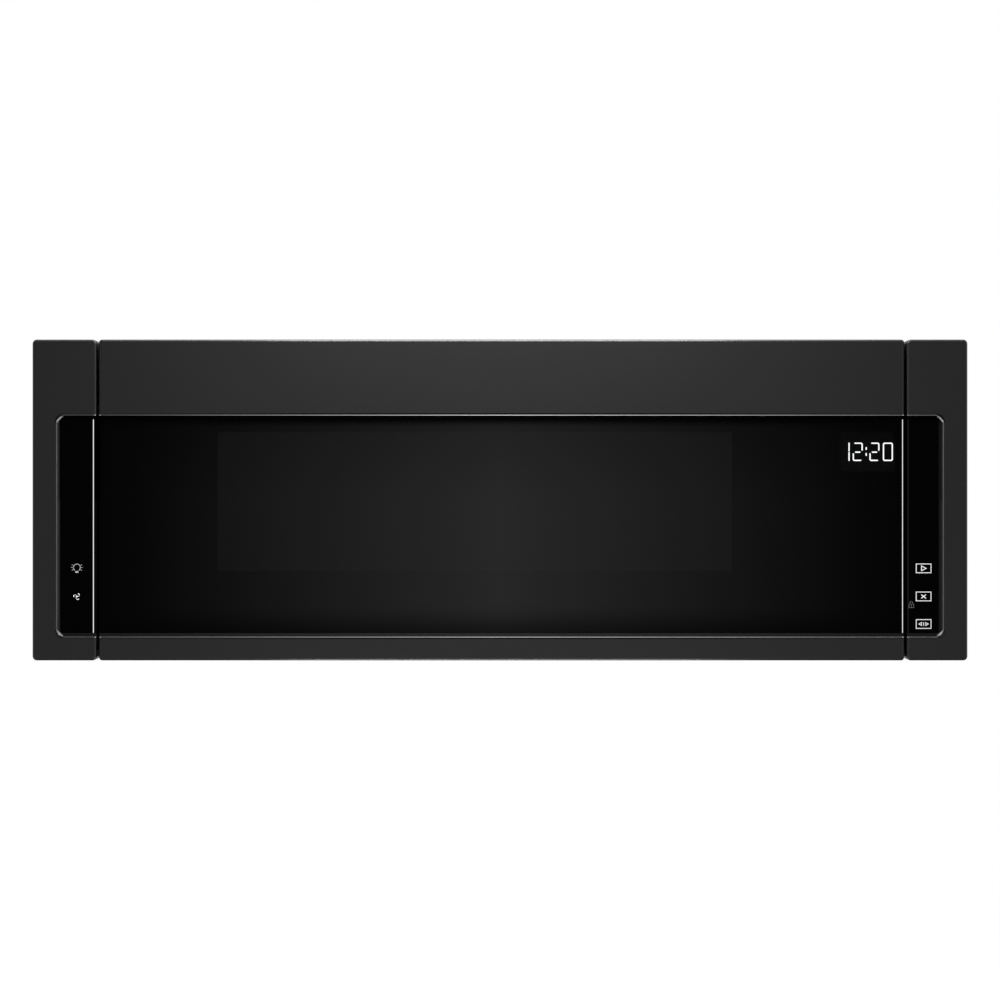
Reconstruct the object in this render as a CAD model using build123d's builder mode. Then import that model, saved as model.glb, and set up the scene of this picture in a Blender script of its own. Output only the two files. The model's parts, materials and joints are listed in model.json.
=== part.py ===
from build123d import *
import os

# Low-profile over-the-range microwave oven with a built-in cooktop hood.
# Millimetres. X runs to the right, Y back to the wall (y = 0), Z up.
# The origin is the middle of the back face, so front-view heights are measured from mid-height.

os.makedirs("parts", exist_ok=True)

# ---------------------------------------------------------------- case
width = 759.0
height = 260.5
depth = 467.0
sheet = 1.0  # steel sheet of the case
case_inset = 1.5  # case side inside the fascia's outer side
case_drop = 1.0  # case top under the fascia's top edge
base_lift = 2.0  # base pan above the fascia's bottom edge
flange_height = 14.0  # upturned edges of the base pan
screw_radius = 2.0
screw_clearance = 0.3
screw_head_radius = 4.0
screw_head_height = 1.3
screw_head_bevel = 0.3
screw_length = 8.0
screw_from_chassis_front = 37.0
screw_from_wall = (210.0, 30.0)

# ---------------------------------------------------------------- fascia
fascia_depth = 50.0
left_column_width = 52.0
right_column_width = 49.4
side_gap = 2.0  # between the door and each column
fascia_wall = 2.2
band_wall = 2.6  # front wall above and below the glass
column_corner = 3.5
door_corner = 2.5
edge_round = 2.2
top_band = 61.65  # the bare front above the glass pocket
bottom_band = 19.25
side_band = 19.3
pocket_radius = 5.5  # the pocket's corners, as it is cut into the front face
recess = 2.9  # the glass behind the front face, with sloped reveals
glass_thickness = 3.2
glass_clearance = 0.3
door_glass_inset = 0.9
column_glass_inset = 2.4
glass_chamfer = 0.6
seat_thickness = 2.0
board_thickness = 1.6
board_margin = 6.0
plug_width = 12.0
plug_depth = 6.0
plug_from_glass_bottom = 63.8  # cable plugs of the touch boards

# ---------------------------------------------------------------- oven cavity
left_bay = 86.0  # from the oven's outside to the cavity, at each side
right_bay = 127.0
hood_bay = 38.25
upper_bay = 50.25
rear_bay = 86.0
cavity_sheet = 1.0
lamp_hole_radius = 1.8
lamp_hole_spacing = 6.0
lamp_from_back = 89.0
lamp_from_ceiling = 23.0
lamp_length = 50.0
lamp_height = 34.0
lamp_depth = 30.0
socket_radius = 7.0
socket_length = 14.0
bulb_radius = 4.5
bulb_length = 8.0

# ---------------------------------------------------------------- door
door_gap = 2.5  # door liner to chassis
liner_thickness = 2.0
liner_clearance = 0.3
liner_stands_out = 0.5
pivot_inset_x = 13.0
pivot_inset_y = 6.6
pin_radius = 2.5
pin_clearance = 0.05
pin_length = 11.0
bush_wall = 1.6
bush_stand = 0.4  # the lower bush stands this far out of its boss
thrust_play = 0.1
boss_wall = 2.3
arm_thickness = 2.5
arm_hub_radius = 3.4
arm_width = 15.0
arm_sweep = 14.0  # the arm reaches this far right of the pivot at the chassis
arm_from_edge = 3.9  # hinge arm from the fascia's top and bottom edges
arm_play = 0.7
hinge_flange_height = 17.0
hinge_flange_thickness = 2.5
hinge_flange_margin = 3.0
window_side_margin = 64.2  # from the cavity's walls to the window in the door
window_floor_margin = 34.2
window_ceiling_margin = 24.8
seat_window_margin = 11.0
choke_overlap = 16.0  # choke frame past the cavity's mouth
choke_groove = 14.0
choke_depth = 16.2
choke_sheet = 1.2
boss_radius = 5.0
screen_thickness = 0.6
screen_overlap = 9.0
pane_thickness = 1.5
pane_overlap = 6.0
pane_corner = 3.0
display_width = 46.0
display_height = 33.0
display_from_edge = 29.8  # display's middle from the door's right side
display_from_top = 26.0  # and from the glass's top
display_depth = 11.0
display_bevel = 1.5
display_clearance = 0.5
key_board_width = 54.0
key_board_from_edge = 85.1
key_board_top_margin = 7.4
key_board_bottom_margin = 19.8
key_plug_height = 14.0
key_plug_margin = 8.0

# ---------------------------------------------------------------- latch
latch_from_edge = 40.6  # latch's middle from the door's right side
latch_thickness = 7.0
latch_bar_depth = 10.0
latch_bar_setback = 20.0  # bar's rear face ahead of the chassis front
latch_end = 4.0  # bar's ends past its upper guide
latch_travel = 4.5
hook_height = 10.5
hook_neck = 6.0
hook_from_end = 17.0  # hook's middle from the bar's end
hook_nose_length = 8.0
hook_play = 0.6
hook_slot_left = 2.0
hook_slot_right = 5.0
hook_slot_play = 0.7
slide_play = 0.3
guide_wall = 2.2
keeper_thickness = 4.0
keeper_half_width = 15.0
keeper_offset = 1.5  # keeper's middle right of the latch
slider_guide_z = ((-30.0, -20.0), (20.0, 27.0))
upper_switch_drop = 5.0  # under the upper hook's middle
lower_switch_drop = 3.0
switch_size = 14.0
switch_thickness = 10.0
switch_button = 5.0
switch_button_height = 2.0
cheek_thickness = 2.0
slider_gap = 0.3  # slider pads under the hooks
slider_pad = 5.0
slider_setback = 1.0
release_bar_depth = 9.0
plunger_radius = 4.0
plunger_clearance = 0.1
plunger_bottom = 5.0
link_bottom = 7.0
plunger_top = 54.0
solenoid_width = 22.0
solenoid_depth = 26.0
solenoid_bottom = 30.0
solenoid_top = 76.0
solenoid_edge = 2.0
plunger_room = 4.0  # above the raised plunger
guide_over_display = 3.6
guide_height = 8.0
lower_guide_z = (-44.0, -32.0)
spring_gap = 18.0  # over the latch bar
spring_seat_thickness = 2.0
spring_radius = 3.2
spring_wire = 0.5
spring_turns = 6

# ---------------------------------------------------------------- turntable
tray_radius = 152.5
tray_thickness = 5.0
tray_rim_height = 15.0
tray_rim_width = 9.0
roller_radius = 8.0
roller_track = 95.0
roller_width = 9.0
roller_count = 3
rolling_clearance = 0.3
axle_radius = 1.5
axle_clearance = 0.08
axle_play = 1.0
axle_cap = 1.0
roller_edge = 1.2
ring_width = 8.0
ring_height = 6.0
coupler_radius = 16.0
coupler_hub_radius = 8.0
coupler_arm_width = 6.0
coupler_arm_angles = (90, 210, 330)
coupler_shaft_radius = 5.0
coupler_shaft_length = 10.5  # into the motor
coupler_shaft_clearance = 0.1
coupler_play = 0.4
floor_hole_radius = 8.0
motor_radius = 25.0
motor_height = 15.0
motor_ear = 9.0
motor_ear_width = 14.0
motor_ear_thickness = 1.5

# ---------------------------------------------------------------- hood
filter_length = 230.0
filter_width = 145.0
filter_thickness = 8.0
filter_rim = 7.0
filter_mesh = 3.0
filter_clearance = 1.0
filter_tab = 22.0
filter_tab_depth = 12.0
filter_tab_recess = 0.5
filter_gap = 70.0  # between the two filters
filter_from_wall = 58.0
port_rim = 2.0
light_length = 90.0
light_width = 40.0
light_height = 20.0
light_rim = 5.0
light_clearance = 0.5
light_roof = 2.0
lamp_cap_radius = 6.0
lamp_cap_height = 10.0
light_from_side = 189.5
light_from_chassis_front = 45.0
grille_inset = 2.5  # grille's end inside the cavity's right-hand wall
grille_width = 56.0
grille_setback = 12.0
grille_lip = 5.0
grille_wall = 2.0
grille_depth = 9.0
slat_count = 6
slat_thickness = 1.6
slat_width = 10.0
slat_tilt = 40.0
charcoal_thickness = 14.0
charcoal_gap = 18.0
charcoal_rim = 6.0
charcoal_recess = 3.0
port_length = 250.0
port_width = 70.0
port_from_wall = 45.0
cover_overlap = 9.0

# ---------------------------------------------------------------- vent blower
wheel_radius = 32.0
wheel_length = 92.0
housing_gap = 18.8  # between the blower's motor and each housing
blower_from_wall = 43.0
scroll_top_gap = 4.25
scroll_radius = 41.0
scroll_sheet = 1.2
scroll_end_gap = 2.0
scroll_mouth = 29.0
inlet_radius = 26.0
blade_count = 24
blade_depth = 6.0
blade_thickness = 0.8
shaft_radius = 4.0
shaft_clearance = 0.05
wheel_hub_radius = 9.0
wheel_hub_length = 16.0
wheel_plate = 2.0
blade_twist = 12.0
blower_motor_radius = 33.0
blower_motor_length = 74.0
blower_motor_edge = 4.0
motor_foot_width = 36.0
motor_foot_height = 24.0
housing_foot_width = 40.0
housing_foot_height = 36.0
foot_overlap = 1.5

# ---------------------------------------------------------------- right-hand bay
guide_depth = 40.0
guide_behind_board = 65.0  # waveguide's middle behind the control board
guide_from_ceiling = 10.0
guide_half_length = 45.0
guide_half_height = 40.0
guide_sheet = 1.0
port_margin = 10.0
cover_thickness = 0.5
antenna_radius = 9.0
antenna_length = 20.0
antenna_clearance = 1.0
magnetron_length = 78.0
magnetron_half_width = 46.0
magnetron_half_height = 38.0
magnetron_plate = 2.0
anode_radius = 20.0
filter_box = 26.0  # holds the heater's chokes
fin_inset = 6.0
fin_count = 9
fin_thickness = 0.8
fan_radius = 46.0
fan_clearance = 4.0
fan_from_side = 64.5
fan_behind_guide = 65.0
shroud_thickness = 3.0
fan_shaft_radius = 3.0
fan_blade_depth = 18.0
fan_blade_count = 5
fan_blade_thickness = 1.6
fan_blade_chord = 24.0
fan_blade_pitch = 35.0
blade_sink = 1.0  # blade's root inside the hub
fan_hub_radius = 12.0
fan_motor_gap = 4.0
fan_motor_radius = 23.0
fan_motor_length = 20.0
fan_shaft_depth = 12.0
fan_shaft_play = 1.0
fan_strap_width = 18.0
fan_strap_thickness = 2.0
fan_leg_width = 8.0
shroud_top_margin = 7.0
shroud_bottom_margin = 14.0
transformer_from_side = 67.5
transformer_setback = 82.0
core_length = 100.0
core_width = 48.0
core_height = 78.0
winding_length = 68.0
winding_width = 88.0
winding_inset = 14.0
winding_edge = 6.0
foot_plate_width = 72.0
foot_plate_thickness = 3.0
capacitor_length = 84.0
capacitor_width = 50.0
capacitor_height = 35.0
capacitor_behind_transformer = 85.0
terminal_spacing = 28.0
terminal_height = 8.0
terminal_width = 6.0
terminal_thickness = 1.6
board_setback = 12.0
board_length = 135.0
board_over_core = 19.25
board_top_margin = 18.25
stand_off_length = 8.0
stand_off_radius = 3.0
stand_off_inset = 7.0
relay_height = 16.0
relay_length = 15.0
relay_width = 20.0
relay_setbacks = (24.0, 53.0, 75.0)
relay_drop = 40.0
louvre_count = 8
louvre_length = 70.0
louvre_width = 4.0
louvre_spacing = 9.0
louvre_from_wall = 69.0
cord_from_side = 49.5
cord_from_wall = 45.0
cord_hole_radius = 12.0
cord_bore_radius = 6.0
grommet_lip = 3.0

# ---------------------------------------------------------------- wall and cabinet fixing
cabinet_bolt_from_side = 79.5
cabinet_bolt_from_wall = 120.0
cabinet_bolt_hole = 4.5
wall_slot_from_side = 179.5
wall_slot_from_bottom = 25.25
wall_slot_length = 40.0
wall_slot_radius = 4.0

# ---------------------------------------------------------------- places worked out from the sizes
top = height / 2
bottom = -height / 2
left = -width / 2
right = width / 2
front = -depth
chassis_front = front + fascia_depth
left_column_edge = left + left_column_width
right_column_edge = right - right_column_width
door_left = left_column_edge + side_gap
door_right = right_column_edge - side_gap
door_middle = (door_left + door_right) / 2
case_side = width / 2 - case_inset
inner_side = case_side - sheet
case_top = top - case_drop
inner_top = case_top - sheet
case_bottom = bottom + base_lift
pan_top = case_bottom + sheet
inner_back = -sheet
screw_places_y = (chassis_front + screw_from_chassis_front, -screw_from_wall[0], -screw_from_wall[1])

pocket_top = top - top_band
pocket_bottom = bottom + bottom_band
pocket_half_width = width / 2 - side_band
glass_front = front + recess
glass_back = glass_front + glass_thickness
seat_back = glass_back + seat_thickness
band_inside = front + band_wall
glass_top = pocket_top - recess - glass_clearance
glass_bottom = pocket_bottom + recess + glass_clearance
glass_end = pocket_half_width - recess - glass_clearance
pocket_z = (pocket_top + pocket_bottom) / 2

cavity_left = left + left_bay
cavity_right = right - right_bay
cavity_centre_x = (cavity_left + cavity_right) / 2
cavity_floor = bottom + hood_bay
cavity_ceiling = top - upper_bay
cavity_front = chassis_front + sheet
cavity_back = -rear_bay
cavity_middle_y = (cavity_front + cavity_back) / 2
roof_top = cavity_ceiling + cavity_sheet
wall_left = cavity_left - cavity_sheet
wall_right = cavity_right + cavity_sheet
floor_under = cavity_floor - cavity_sheet
rear_wall_back = cavity_back + cavity_sheet

window_left = cavity_left + window_side_margin
window_right = cavity_right - window_side_margin
window_bottom = cavity_floor + window_floor_margin
window_top = cavity_ceiling - window_ceiling_margin
window_centre_z = (window_bottom + window_top) / 2
window_half_width = (window_right - window_left) / 2
window_half_height = (window_top - window_bottom) / 2
display_x = door_right - display_from_edge
display_z = glass_top - display_from_top
key_board_x = door_right - key_board_from_edge
key_board_z = (glass_bottom + key_board_bottom_margin, glass_top - key_board_top_margin)
key_plug_z = (key_board_z[0] + key_plug_margin, key_board_z[0] + key_plug_margin + key_plug_height)
plug_z = glass_bottom + plug_from_glass_bottom
lamp_centre_y = cavity_back - lamp_from_back
lamp_centre_z = cavity_ceiling - lamp_from_ceiling

liner_back = chassis_front - door_gap
liner_front = liner_back - liner_thickness
door_back = liner_back - liner_stands_out
choke_front = liner_front - choke_depth
plate_front = liner_front - choke_sheet
choke_left = cavity_left - choke_overlap
choke_right = cavity_right + choke_overlap
choke_bottom = cavity_floor - choke_overlap
choke_top = cavity_ceiling + choke_overlap
hinge_x = door_left + pivot_inset_x
hinge_y = front + pivot_inset_y
bush_radius = pin_radius + pin_clearance + bush_wall
upper_arm_top = top - arm_from_edge
upper_arm_bottom = upper_arm_top - arm_thickness
lower_arm_bottom = bottom + arm_from_edge
lower_arm_top = lower_arm_bottom + arm_thickness
boss_gap = bush_stand + thrust_play
arm_left = hinge_x + arm_sweep
arm_right = arm_left + arm_width

display_top = display_z + display_height / 2 + display_clearance
upper_guide_z = (display_top + guide_over_display, display_top + guide_over_display + guide_height)
latch_half_length = upper_guide_z[1] + latch_end
keeper_half_height = latch_half_length
hook_z = latch_half_length - hook_from_end
hook_offsets = (-hook_z, hook_z)
switch_z = (-hook_z - lower_switch_drop, 0, hook_z - upper_switch_drop)
latch_x = door_right - latch_from_edge
latch_left = latch_x - latch_thickness / 2
latch_right = latch_x + latch_thickness / 2
bar_back = chassis_front - latch_bar_setback
bar_front = bar_back - latch_bar_depth
keeper_back = cavity_front + keeper_thickness
nose_front = keeper_back + hook_play
nose_back = nose_front + hook_nose_length

filter_centre_x = (filter_gap + filter_length) / 2
filter_hinge_y = -filter_from_wall
light_x = width / 2 - light_from_side
light_y = chassis_front + light_from_chassis_front
grille_length = 2 * (cavity_right - grille_inset)
grille_front = chassis_front + grille_setback
port_centre_y = -port_from_wall
housing_half = wheel_length / 2 + scroll_end_gap + scroll_sheet
wheel_x = blower_motor_length / 2 + housing_gap + housing_half
blower_y = -blower_from_wall
blower_z = inner_top - scroll_top_gap - scroll_radius

control_board_y = (chassis_front + board_setback, chassis_front + board_setback + board_length)
control_board_z = (pan_top + core_height + board_over_core, inner_top - board_top_margin)
relay_y = [control_board_y[0] + setback for setback in relay_setbacks]
relay_z = control_board_z[1] - relay_drop
guide_y = control_board_y[1] + guide_behind_board
guide_z = cavity_ceiling - guide_from_ceiling - guide_half_height
fan_opening = fan_radius + fan_clearance
fan_x = right - fan_from_side
fan_z = roof_top - shroud_top_margin - fan_opening
shroud_front = guide_y + fan_behind_guide
shroud_bottom = fan_z - fan_opening - shroud_bottom_margin
transformer_x = right - transformer_from_side
transformer_y = chassis_front + transformer_setback
capacitor_y = transformer_y + capacitor_behind_transformer
louvre_y = -louvre_from_wall
cord_x = right - cord_from_side
cord_y = -cord_from_wall
cabinet_bolt_x = width / 2 - cabinet_bolt_from_side
cabinet_bolt_y = -cabinet_bolt_from_wall
wall_slot_x = width / 2 - wall_slot_from_side
wall_slot_z = bottom + wall_slot_from_bottom


def slab(x, y, z, mode=Mode.ADD):
    """A box given by its low and high ends along each axis, in the part being built."""
    centre = tuple((low + high) / 2 for low, high in (x, y, z))
    with Locations(centre):
        Box(x[1] - x[0], y[1] - y[0], z[1] - z[0], mode=mode)


def rod(centre, radius, length, turn=(0, 0, 0), mode=Mode.ADD):
    """A cylinder about its middle, along Z until it is turned."""
    with Locations(Location(centre, turn)):
        Cylinder(radius, length, mode=mode)


def around(middle, half):
    """The low and high ends of a span about its middle."""
    return (middle - half, middle + half)


def facing(y):
    """The plane at depth y, seen from the front: sketch x is X and sketch y is Z."""
    return Plane.XZ.offset(-y)


def save(piece, name):
    """Labels a finished piece and writes it under its own name."""
    piece.part.label = name
    export_step(piece.part, f"parts/{name}.step")


along_x = (0, 90, 0)
along_y = (90, 0, 0)

# ================================================================= case
port_y = around(port_centre_y, port_width / 2)
grille_y = (grille_front, grille_front + grille_width)
flange_z = (pan_top, pan_top + flange_height)
screw_z = pan_top + flange_height / 2
above_top = (inner_top - sheet, case_top + sheet)

with BuildPart() as outer_wrapper:
    slab((-case_side, case_side), (chassis_front, 0), (inner_top, case_top))
    slab((-case_side, -inner_side), (chassis_front, 0), (pan_top, inner_top))
    slab((inner_side, case_side), (chassis_front, 0), (pan_top, inner_top))
    # the hood's air outlet, behind the door's top edge
    slab(around(0, grille_length / 2), grille_y, above_top, Mode.SUBTRACT)
    # exhaust port for a duct, closed by a cover as delivered
    slab(around(0, port_length / 2), port_y, above_top, Mode.SUBTRACT)
    with Locations((-cabinet_bolt_x, cabinet_bolt_y, inner_top), (cabinet_bolt_x, cabinet_bolt_y, inner_top)):
        Cylinder(cabinet_bolt_hole, 4 * sheet, mode=Mode.SUBTRACT)
    rod((cord_x, cord_y, inner_top), cord_hole_radius, 4 * sheet, mode=Mode.SUBTRACT)
    for y in screw_places_y:
        rod((0, y, screw_z), screw_radius + screw_clearance, 3 * case_side, along_x, Mode.SUBTRACT)
save(outer_wrapper, "outer_wrapper")

filter_y = (filter_hinge_y - filter_width, filter_hinge_y)
filter_port_y = (filter_y[0] - filter_clearance, filter_y[1] + filter_clearance)
rim_y = (filter_port_y[0] - port_rim, filter_port_y[1] + port_rim)

with BuildPart() as base_pan:
    slab((-case_side, case_side), (chassis_front, 0), (case_bottom, pan_top))
    slab((-inner_side, -inner_side + sheet), (cavity_front, inner_back), flange_z)
    slab((inner_side - sheet, inner_side), (cavity_front, inner_back), flange_z)
    for side in (-1, 1):
        port_x = around(side * filter_centre_x, filter_length / 2 + filter_clearance)
        rim_x = (port_x[0] - port_rim, port_x[1] + port_rim)
        slab(rim_x, rim_y, (pan_top, pan_top + filter_thickness))
        slab(port_x, filter_port_y, (case_bottom - sheet, pan_top + 2 * filter_thickness), Mode.SUBTRACT)
        light_window_x = around(side * light_x, light_length / 2)
        light_window_y = around(light_y, light_width / 2)
        slab(light_window_x, light_window_y, (case_bottom - sheet, pan_top + sheet), Mode.SUBTRACT)
    # intake louvres of the cooling fan
    with BuildSketch(Plane.XY.offset(case_bottom)):
        with Locations((fan_x, louvre_y)):
            with GridLocations(louvre_spacing, louvre_spacing, 1, louvre_count):
                SlotOverall(louvre_length, louvre_width)
    extrude(amount=sheet, mode=Mode.SUBTRACT)
    for y in screw_places_y:
        rod((0, y, screw_z), screw_radius + screw_clearance, 3 * case_side, along_x, Mode.SUBTRACT)
save(base_pan, "base_pan")

with BuildPart() as back_plate:
    slab((-inner_side, inner_side), (inner_back, 0), (pan_top, inner_top))
    with BuildSketch(facing(0)):
        with Locations((-wall_slot_x, wall_slot_z), (wall_slot_x, wall_slot_z)):
            SlotOverall(wall_slot_length, 2 * wall_slot_radius)
    extrude(amount=sheet, both=True, mode=Mode.SUBTRACT)
save(back_plate, "back_plate")

hook_slot_x = (latch_left - hook_slot_left, latch_right + hook_slot_right)
upper_arm_slot = (upper_arm_bottom - arm_play, upper_arm_top + arm_play)
lower_arm_slot = (lower_arm_bottom - arm_play, lower_arm_top + arm_play)
plate_slot_x = (arm_left - hinge_flange_margin / 2, arm_right + hinge_flange_margin / 2)


def hook_slot_z(offset):
    """Heights that a latch hook needs, from its lowered neck to its raised top."""
    raised_bottom = offset - hook_height / 2
    lowered_neck = offset + hook_height / 2 - hook_neck - latch_travel
    return (min(raised_bottom, lowered_neck) - hook_slot_play, offset + hook_height / 2 + hook_slot_play)


with BuildPart() as front_plate:
    slab((-inner_side, inner_side), (chassis_front, cavity_front), (pan_top, inner_top))
    slab(
        (cavity_left, cavity_right),
        (chassis_front - sheet, cavity_front + sheet),
        (cavity_floor, cavity_ceiling),
        Mode.SUBTRACT,
    )
    for offset in hook_offsets:
        slab(hook_slot_x, (chassis_front - sheet, cavity_front + sheet), hook_slot_z(offset), Mode.SUBTRACT)
    for slot in (upper_arm_slot, lower_arm_slot):
        slab(plate_slot_x, (chassis_front - sheet, cavity_front + sheet), slot, Mode.SUBTRACT)
save(front_plate, "front_plate")

with BuildPart() as case_screws:
    for y in screw_places_y:
        for side in (-1, 1):
            head_x = side * (case_side + screw_head_height / 2)
            shank_x = side * (case_side - screw_length / 2)
            rod((head_x, y, screw_z), screw_head_radius, screw_head_height, along_x)
            rod((shank_x, y, screw_z), screw_radius, screw_length, along_x)
    chamfer(case_screws.edges().filter_by(GeomType.CIRCLE).group_by(SortBy.RADIUS)[-1], screw_head_bevel)
save(case_screws, "case_screws")

with BuildPart() as cord_grommet:
    rod((cord_x, cord_y, (inner_top + case_top) / 2), cord_hole_radius, sheet)
    rod((cord_x, cord_y, (case_top + top) / 2), cord_hole_radius + grommet_lip, case_drop)
    rod((cord_x, cord_y, inner_top - grommet_lip / 2), cord_hole_radius + grommet_lip / 2, grommet_lip)
    rod((cord_x, cord_y, inner_top), cord_bore_radius, 6 * grommet_lip, mode=Mode.SUBTRACT)
save(cord_grommet, "cord_grommet")

with BuildPart() as exhaust_cover:
    cover_y = (port_y[0] - cover_overlap, port_y[1] + cover_overlap)
    slab(around(0, port_length / 2 + 1.5 * cover_overlap), cover_y, (case_top, top))
    fillet(exhaust_cover.edges().filter_by(Axis.Z), cover_overlap / 2)
save(exhaust_cover, "exhaust_cover")

# ================================================================= oven cavity
feed_y = around(guide_y, guide_half_length - port_margin)
feed_z = around(guide_z, guide_half_height - port_margin)

with BuildPart() as cavity_wrap:
    slab((wall_left, wall_right), (cavity_front, cavity_back), (cavity_ceiling, roof_top))
    slab((wall_left, cavity_left), (cavity_front, cavity_back), (cavity_floor, cavity_ceiling))
    slab((cavity_right, wall_right), (cavity_front, cavity_back), (cavity_floor, cavity_ceiling))
    # feed port, and the holes that let the lamp shine in
    slab((cavity_right - 1, wall_right + 1), feed_y, feed_z, Mode.SUBTRACT)
    with BuildSketch(Plane.YZ.offset(wall_left)):
        with Locations((lamp_centre_y, lamp_centre_z)):
            with GridLocations(lamp_hole_spacing, lamp_hole_spacing, 5, 3):
                Circle(lamp_hole_radius)
    extrude(amount=cavity_sheet, mode=Mode.SUBTRACT)
save(cavity_wrap, "cavity_wrap")

with BuildPart() as cavity_pan:
    slab((wall_left, wall_right), (cavity_front, rear_wall_back), (floor_under, cavity_floor))
    slab((wall_left, wall_right), (cavity_back, rear_wall_back), (cavity_floor, roof_top))
    hole_depth = 4 * cavity_sheet
    rod((cavity_centre_x, cavity_middle_y, floor_under), floor_hole_radius, hole_depth, mode=Mode.SUBTRACT)
save(cavity_pan, "cavity_pan")

with BuildPart() as cavity_lamp:
    lamp_x = (wall_left - lamp_depth, wall_left)
    slab(lamp_x, around(lamp_centre_y, lamp_length / 2), around(lamp_centre_z, lamp_height / 2))
    slab(
        (lamp_x[0] + cavity_sheet, wall_left + 1),
        around(lamp_centre_y, lamp_length / 2 - cavity_sheet),
        around(lamp_centre_z, lamp_height / 2 - cavity_sheet),
        Mode.SUBTRACT,
    )
    # bulb and its socket
    socket_end = lamp_x[0] + socket_length
    rod((lamp_x[0] + socket_length / 2, lamp_centre_y, lamp_centre_z), socket_radius, socket_length, along_x)
    rod((socket_end + bulb_length / 2, lamp_centre_y, lamp_centre_z), bulb_radius, bulb_length, along_x)
save(cavity_lamp, "cavity_lamp")

with BuildPart() as waveguide_cover:
    cover_x = (cavity_right - cover_thickness, cavity_right)
    cover_margin = port_margin / 2
    cover_y = (feed_y[0] - cover_margin, feed_y[1] + cover_margin)
    cover_z = (feed_z[0] - cover_margin, feed_z[1] + cover_margin)
    slab(cover_x, cover_y, cover_z)
save(waveguide_cover, "waveguide_cover")

# ================================================================= turntable
roller_z = cavity_floor + rolling_clearance + roller_radius
tray_bottom = roller_z + roller_radius + rolling_clearance
tray_axis = (cavity_centre_x, cavity_middle_y)

with BuildPart() as turntable:
    with BuildSketch(Plane.XZ.offset(-tray_axis[1])):
        with BuildLine():
            inner_rim = tray_radius - tray_rim_width
            Polyline(
                (cavity_centre_x, tray_bottom),
                (cavity_centre_x + inner_rim, tray_bottom),
                (cavity_centre_x + tray_radius, tray_bottom + tray_rim_height - tray_thickness / 2),
                (cavity_centre_x + tray_radius, tray_bottom + tray_rim_height),
                (cavity_centre_x + tray_radius - tray_thickness / 2, tray_bottom + tray_rim_height),
                (cavity_centre_x + inner_rim - tray_thickness / 2, tray_bottom + tray_thickness),
                (cavity_centre_x, tray_bottom + tray_thickness),
                close=True,
            )
        make_face()
    revolve(axis=Axis((cavity_centre_x, tray_axis[1], 0), (0, 0, 1)))
save(turntable, "turntable")

with BuildPart() as coupler:
    coupler_bottom = cavity_floor + coupler_play
    head_z = (coupler_bottom + tray_bottom) / 2
    head_height = tray_bottom - coupler_bottom
    rod((*tray_axis, head_z), coupler_hub_radius, head_height)
    for angle in coupler_arm_angles:
        with Locations(Location((*tray_axis, head_z), (0, 0, angle))):
            with Locations((coupler_radius / 2, 0, 0)):
                Box(coupler_radius, coupler_arm_width, head_height)
    shaft_bottom = floor_under - coupler_shaft_length
    shaft_middle = (shaft_bottom + coupler_bottom) / 2
    rod((*tray_axis, shaft_middle), coupler_shaft_radius, coupler_bottom - shaft_bottom)
save(coupler, "coupler")

with BuildPart() as turntable_motor:
    rod((*tray_axis, floor_under - motor_height / 2), motor_radius, motor_height)
    slab(
        around(cavity_centre_x, motor_radius + motor_ear),
        around(cavity_middle_y, motor_ear_width / 2),
        (floor_under - motor_ear_thickness, floor_under),
    )
    rod(
        (*tray_axis, floor_under),
        coupler_shaft_radius + coupler_shaft_clearance,
        2 * (coupler_shaft_length + coupler_play),
        mode=Mode.SUBTRACT,
    )
save(turntable_motor, "turntable_motor")

axle_inner = roller_track - roller_width / 2 - axle_play
axle_outer = roller_track + roller_width / 2 + axle_play
roller_angles = [90 + 360 / roller_count * k for k in range(roller_count)]

with BuildPart() as roller_ring:
    rod((*tray_axis, roller_z), axle_inner, ring_height)
    rod((*tray_axis, roller_z), axle_inner - ring_width, 2 * ring_height, mode=Mode.SUBTRACT)
    for angle in roller_angles:
        with Locations(Location((*tray_axis, roller_z), (0, 0, angle))):
            with Locations(Location(((axle_inner + axle_outer - axle_cap) / 2, 0, 0), along_x)):
                Cylinder(axle_radius, axle_outer - axle_inner + axle_cap)
            with Locations(Location((axle_outer + axle_cap / 2, 0, 0), along_x)):
                Cylinder(2 * axle_radius, axle_cap)
save(roller_ring, "roller_ring")

for number, angle in enumerate(roller_angles, start=1):
    with BuildPart() as roller:
        with Locations(Location((*tray_axis, roller_z), (0, 0, angle))):
            with Locations(Location((roller_track, 0, 0), along_x)):
                Cylinder(roller_radius, roller_width)
                Cylinder(axle_radius + axle_clearance, 2 * roller_width, mode=Mode.SUBTRACT)
        fillet(roller.edges().filter_by(GeomType.CIRCLE).group_by(SortBy.RADIUS)[-1], roller_edge)
    save(roller, f"roller_{number}")

# ================================================================= fascia
# The pocket runs across both columns and the door, so the three share one cutter.
with BuildPart() as glass_pocket:
    for y, inset in ((front, 0), (glass_front, recess)):
        with BuildSketch(facing(y)):
            with Locations((0, pocket_z)):
                RectangleRounded(
                    2 * (pocket_half_width - inset),
                    pocket_top - pocket_bottom - 2 * inset,
                    pocket_radius - inset,
                )
    loft(ruled=True)
    with BuildSketch(facing(glass_front)):
        with Locations((0, pocket_z)):
            RectangleRounded(
                2 * (pocket_half_width - recess),
                pocket_top - pocket_bottom - 2 * recess,
                pocket_radius - recess,
            )
    extrude(amount=-glass_thickness)

hollow_top = top - fascia_wall
hollow_bottom = bottom + fascia_wall
upper_band_z = (pocket_top + 1, hollow_top)
lower_band_z = (hollow_bottom, pocket_bottom - 1)


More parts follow.
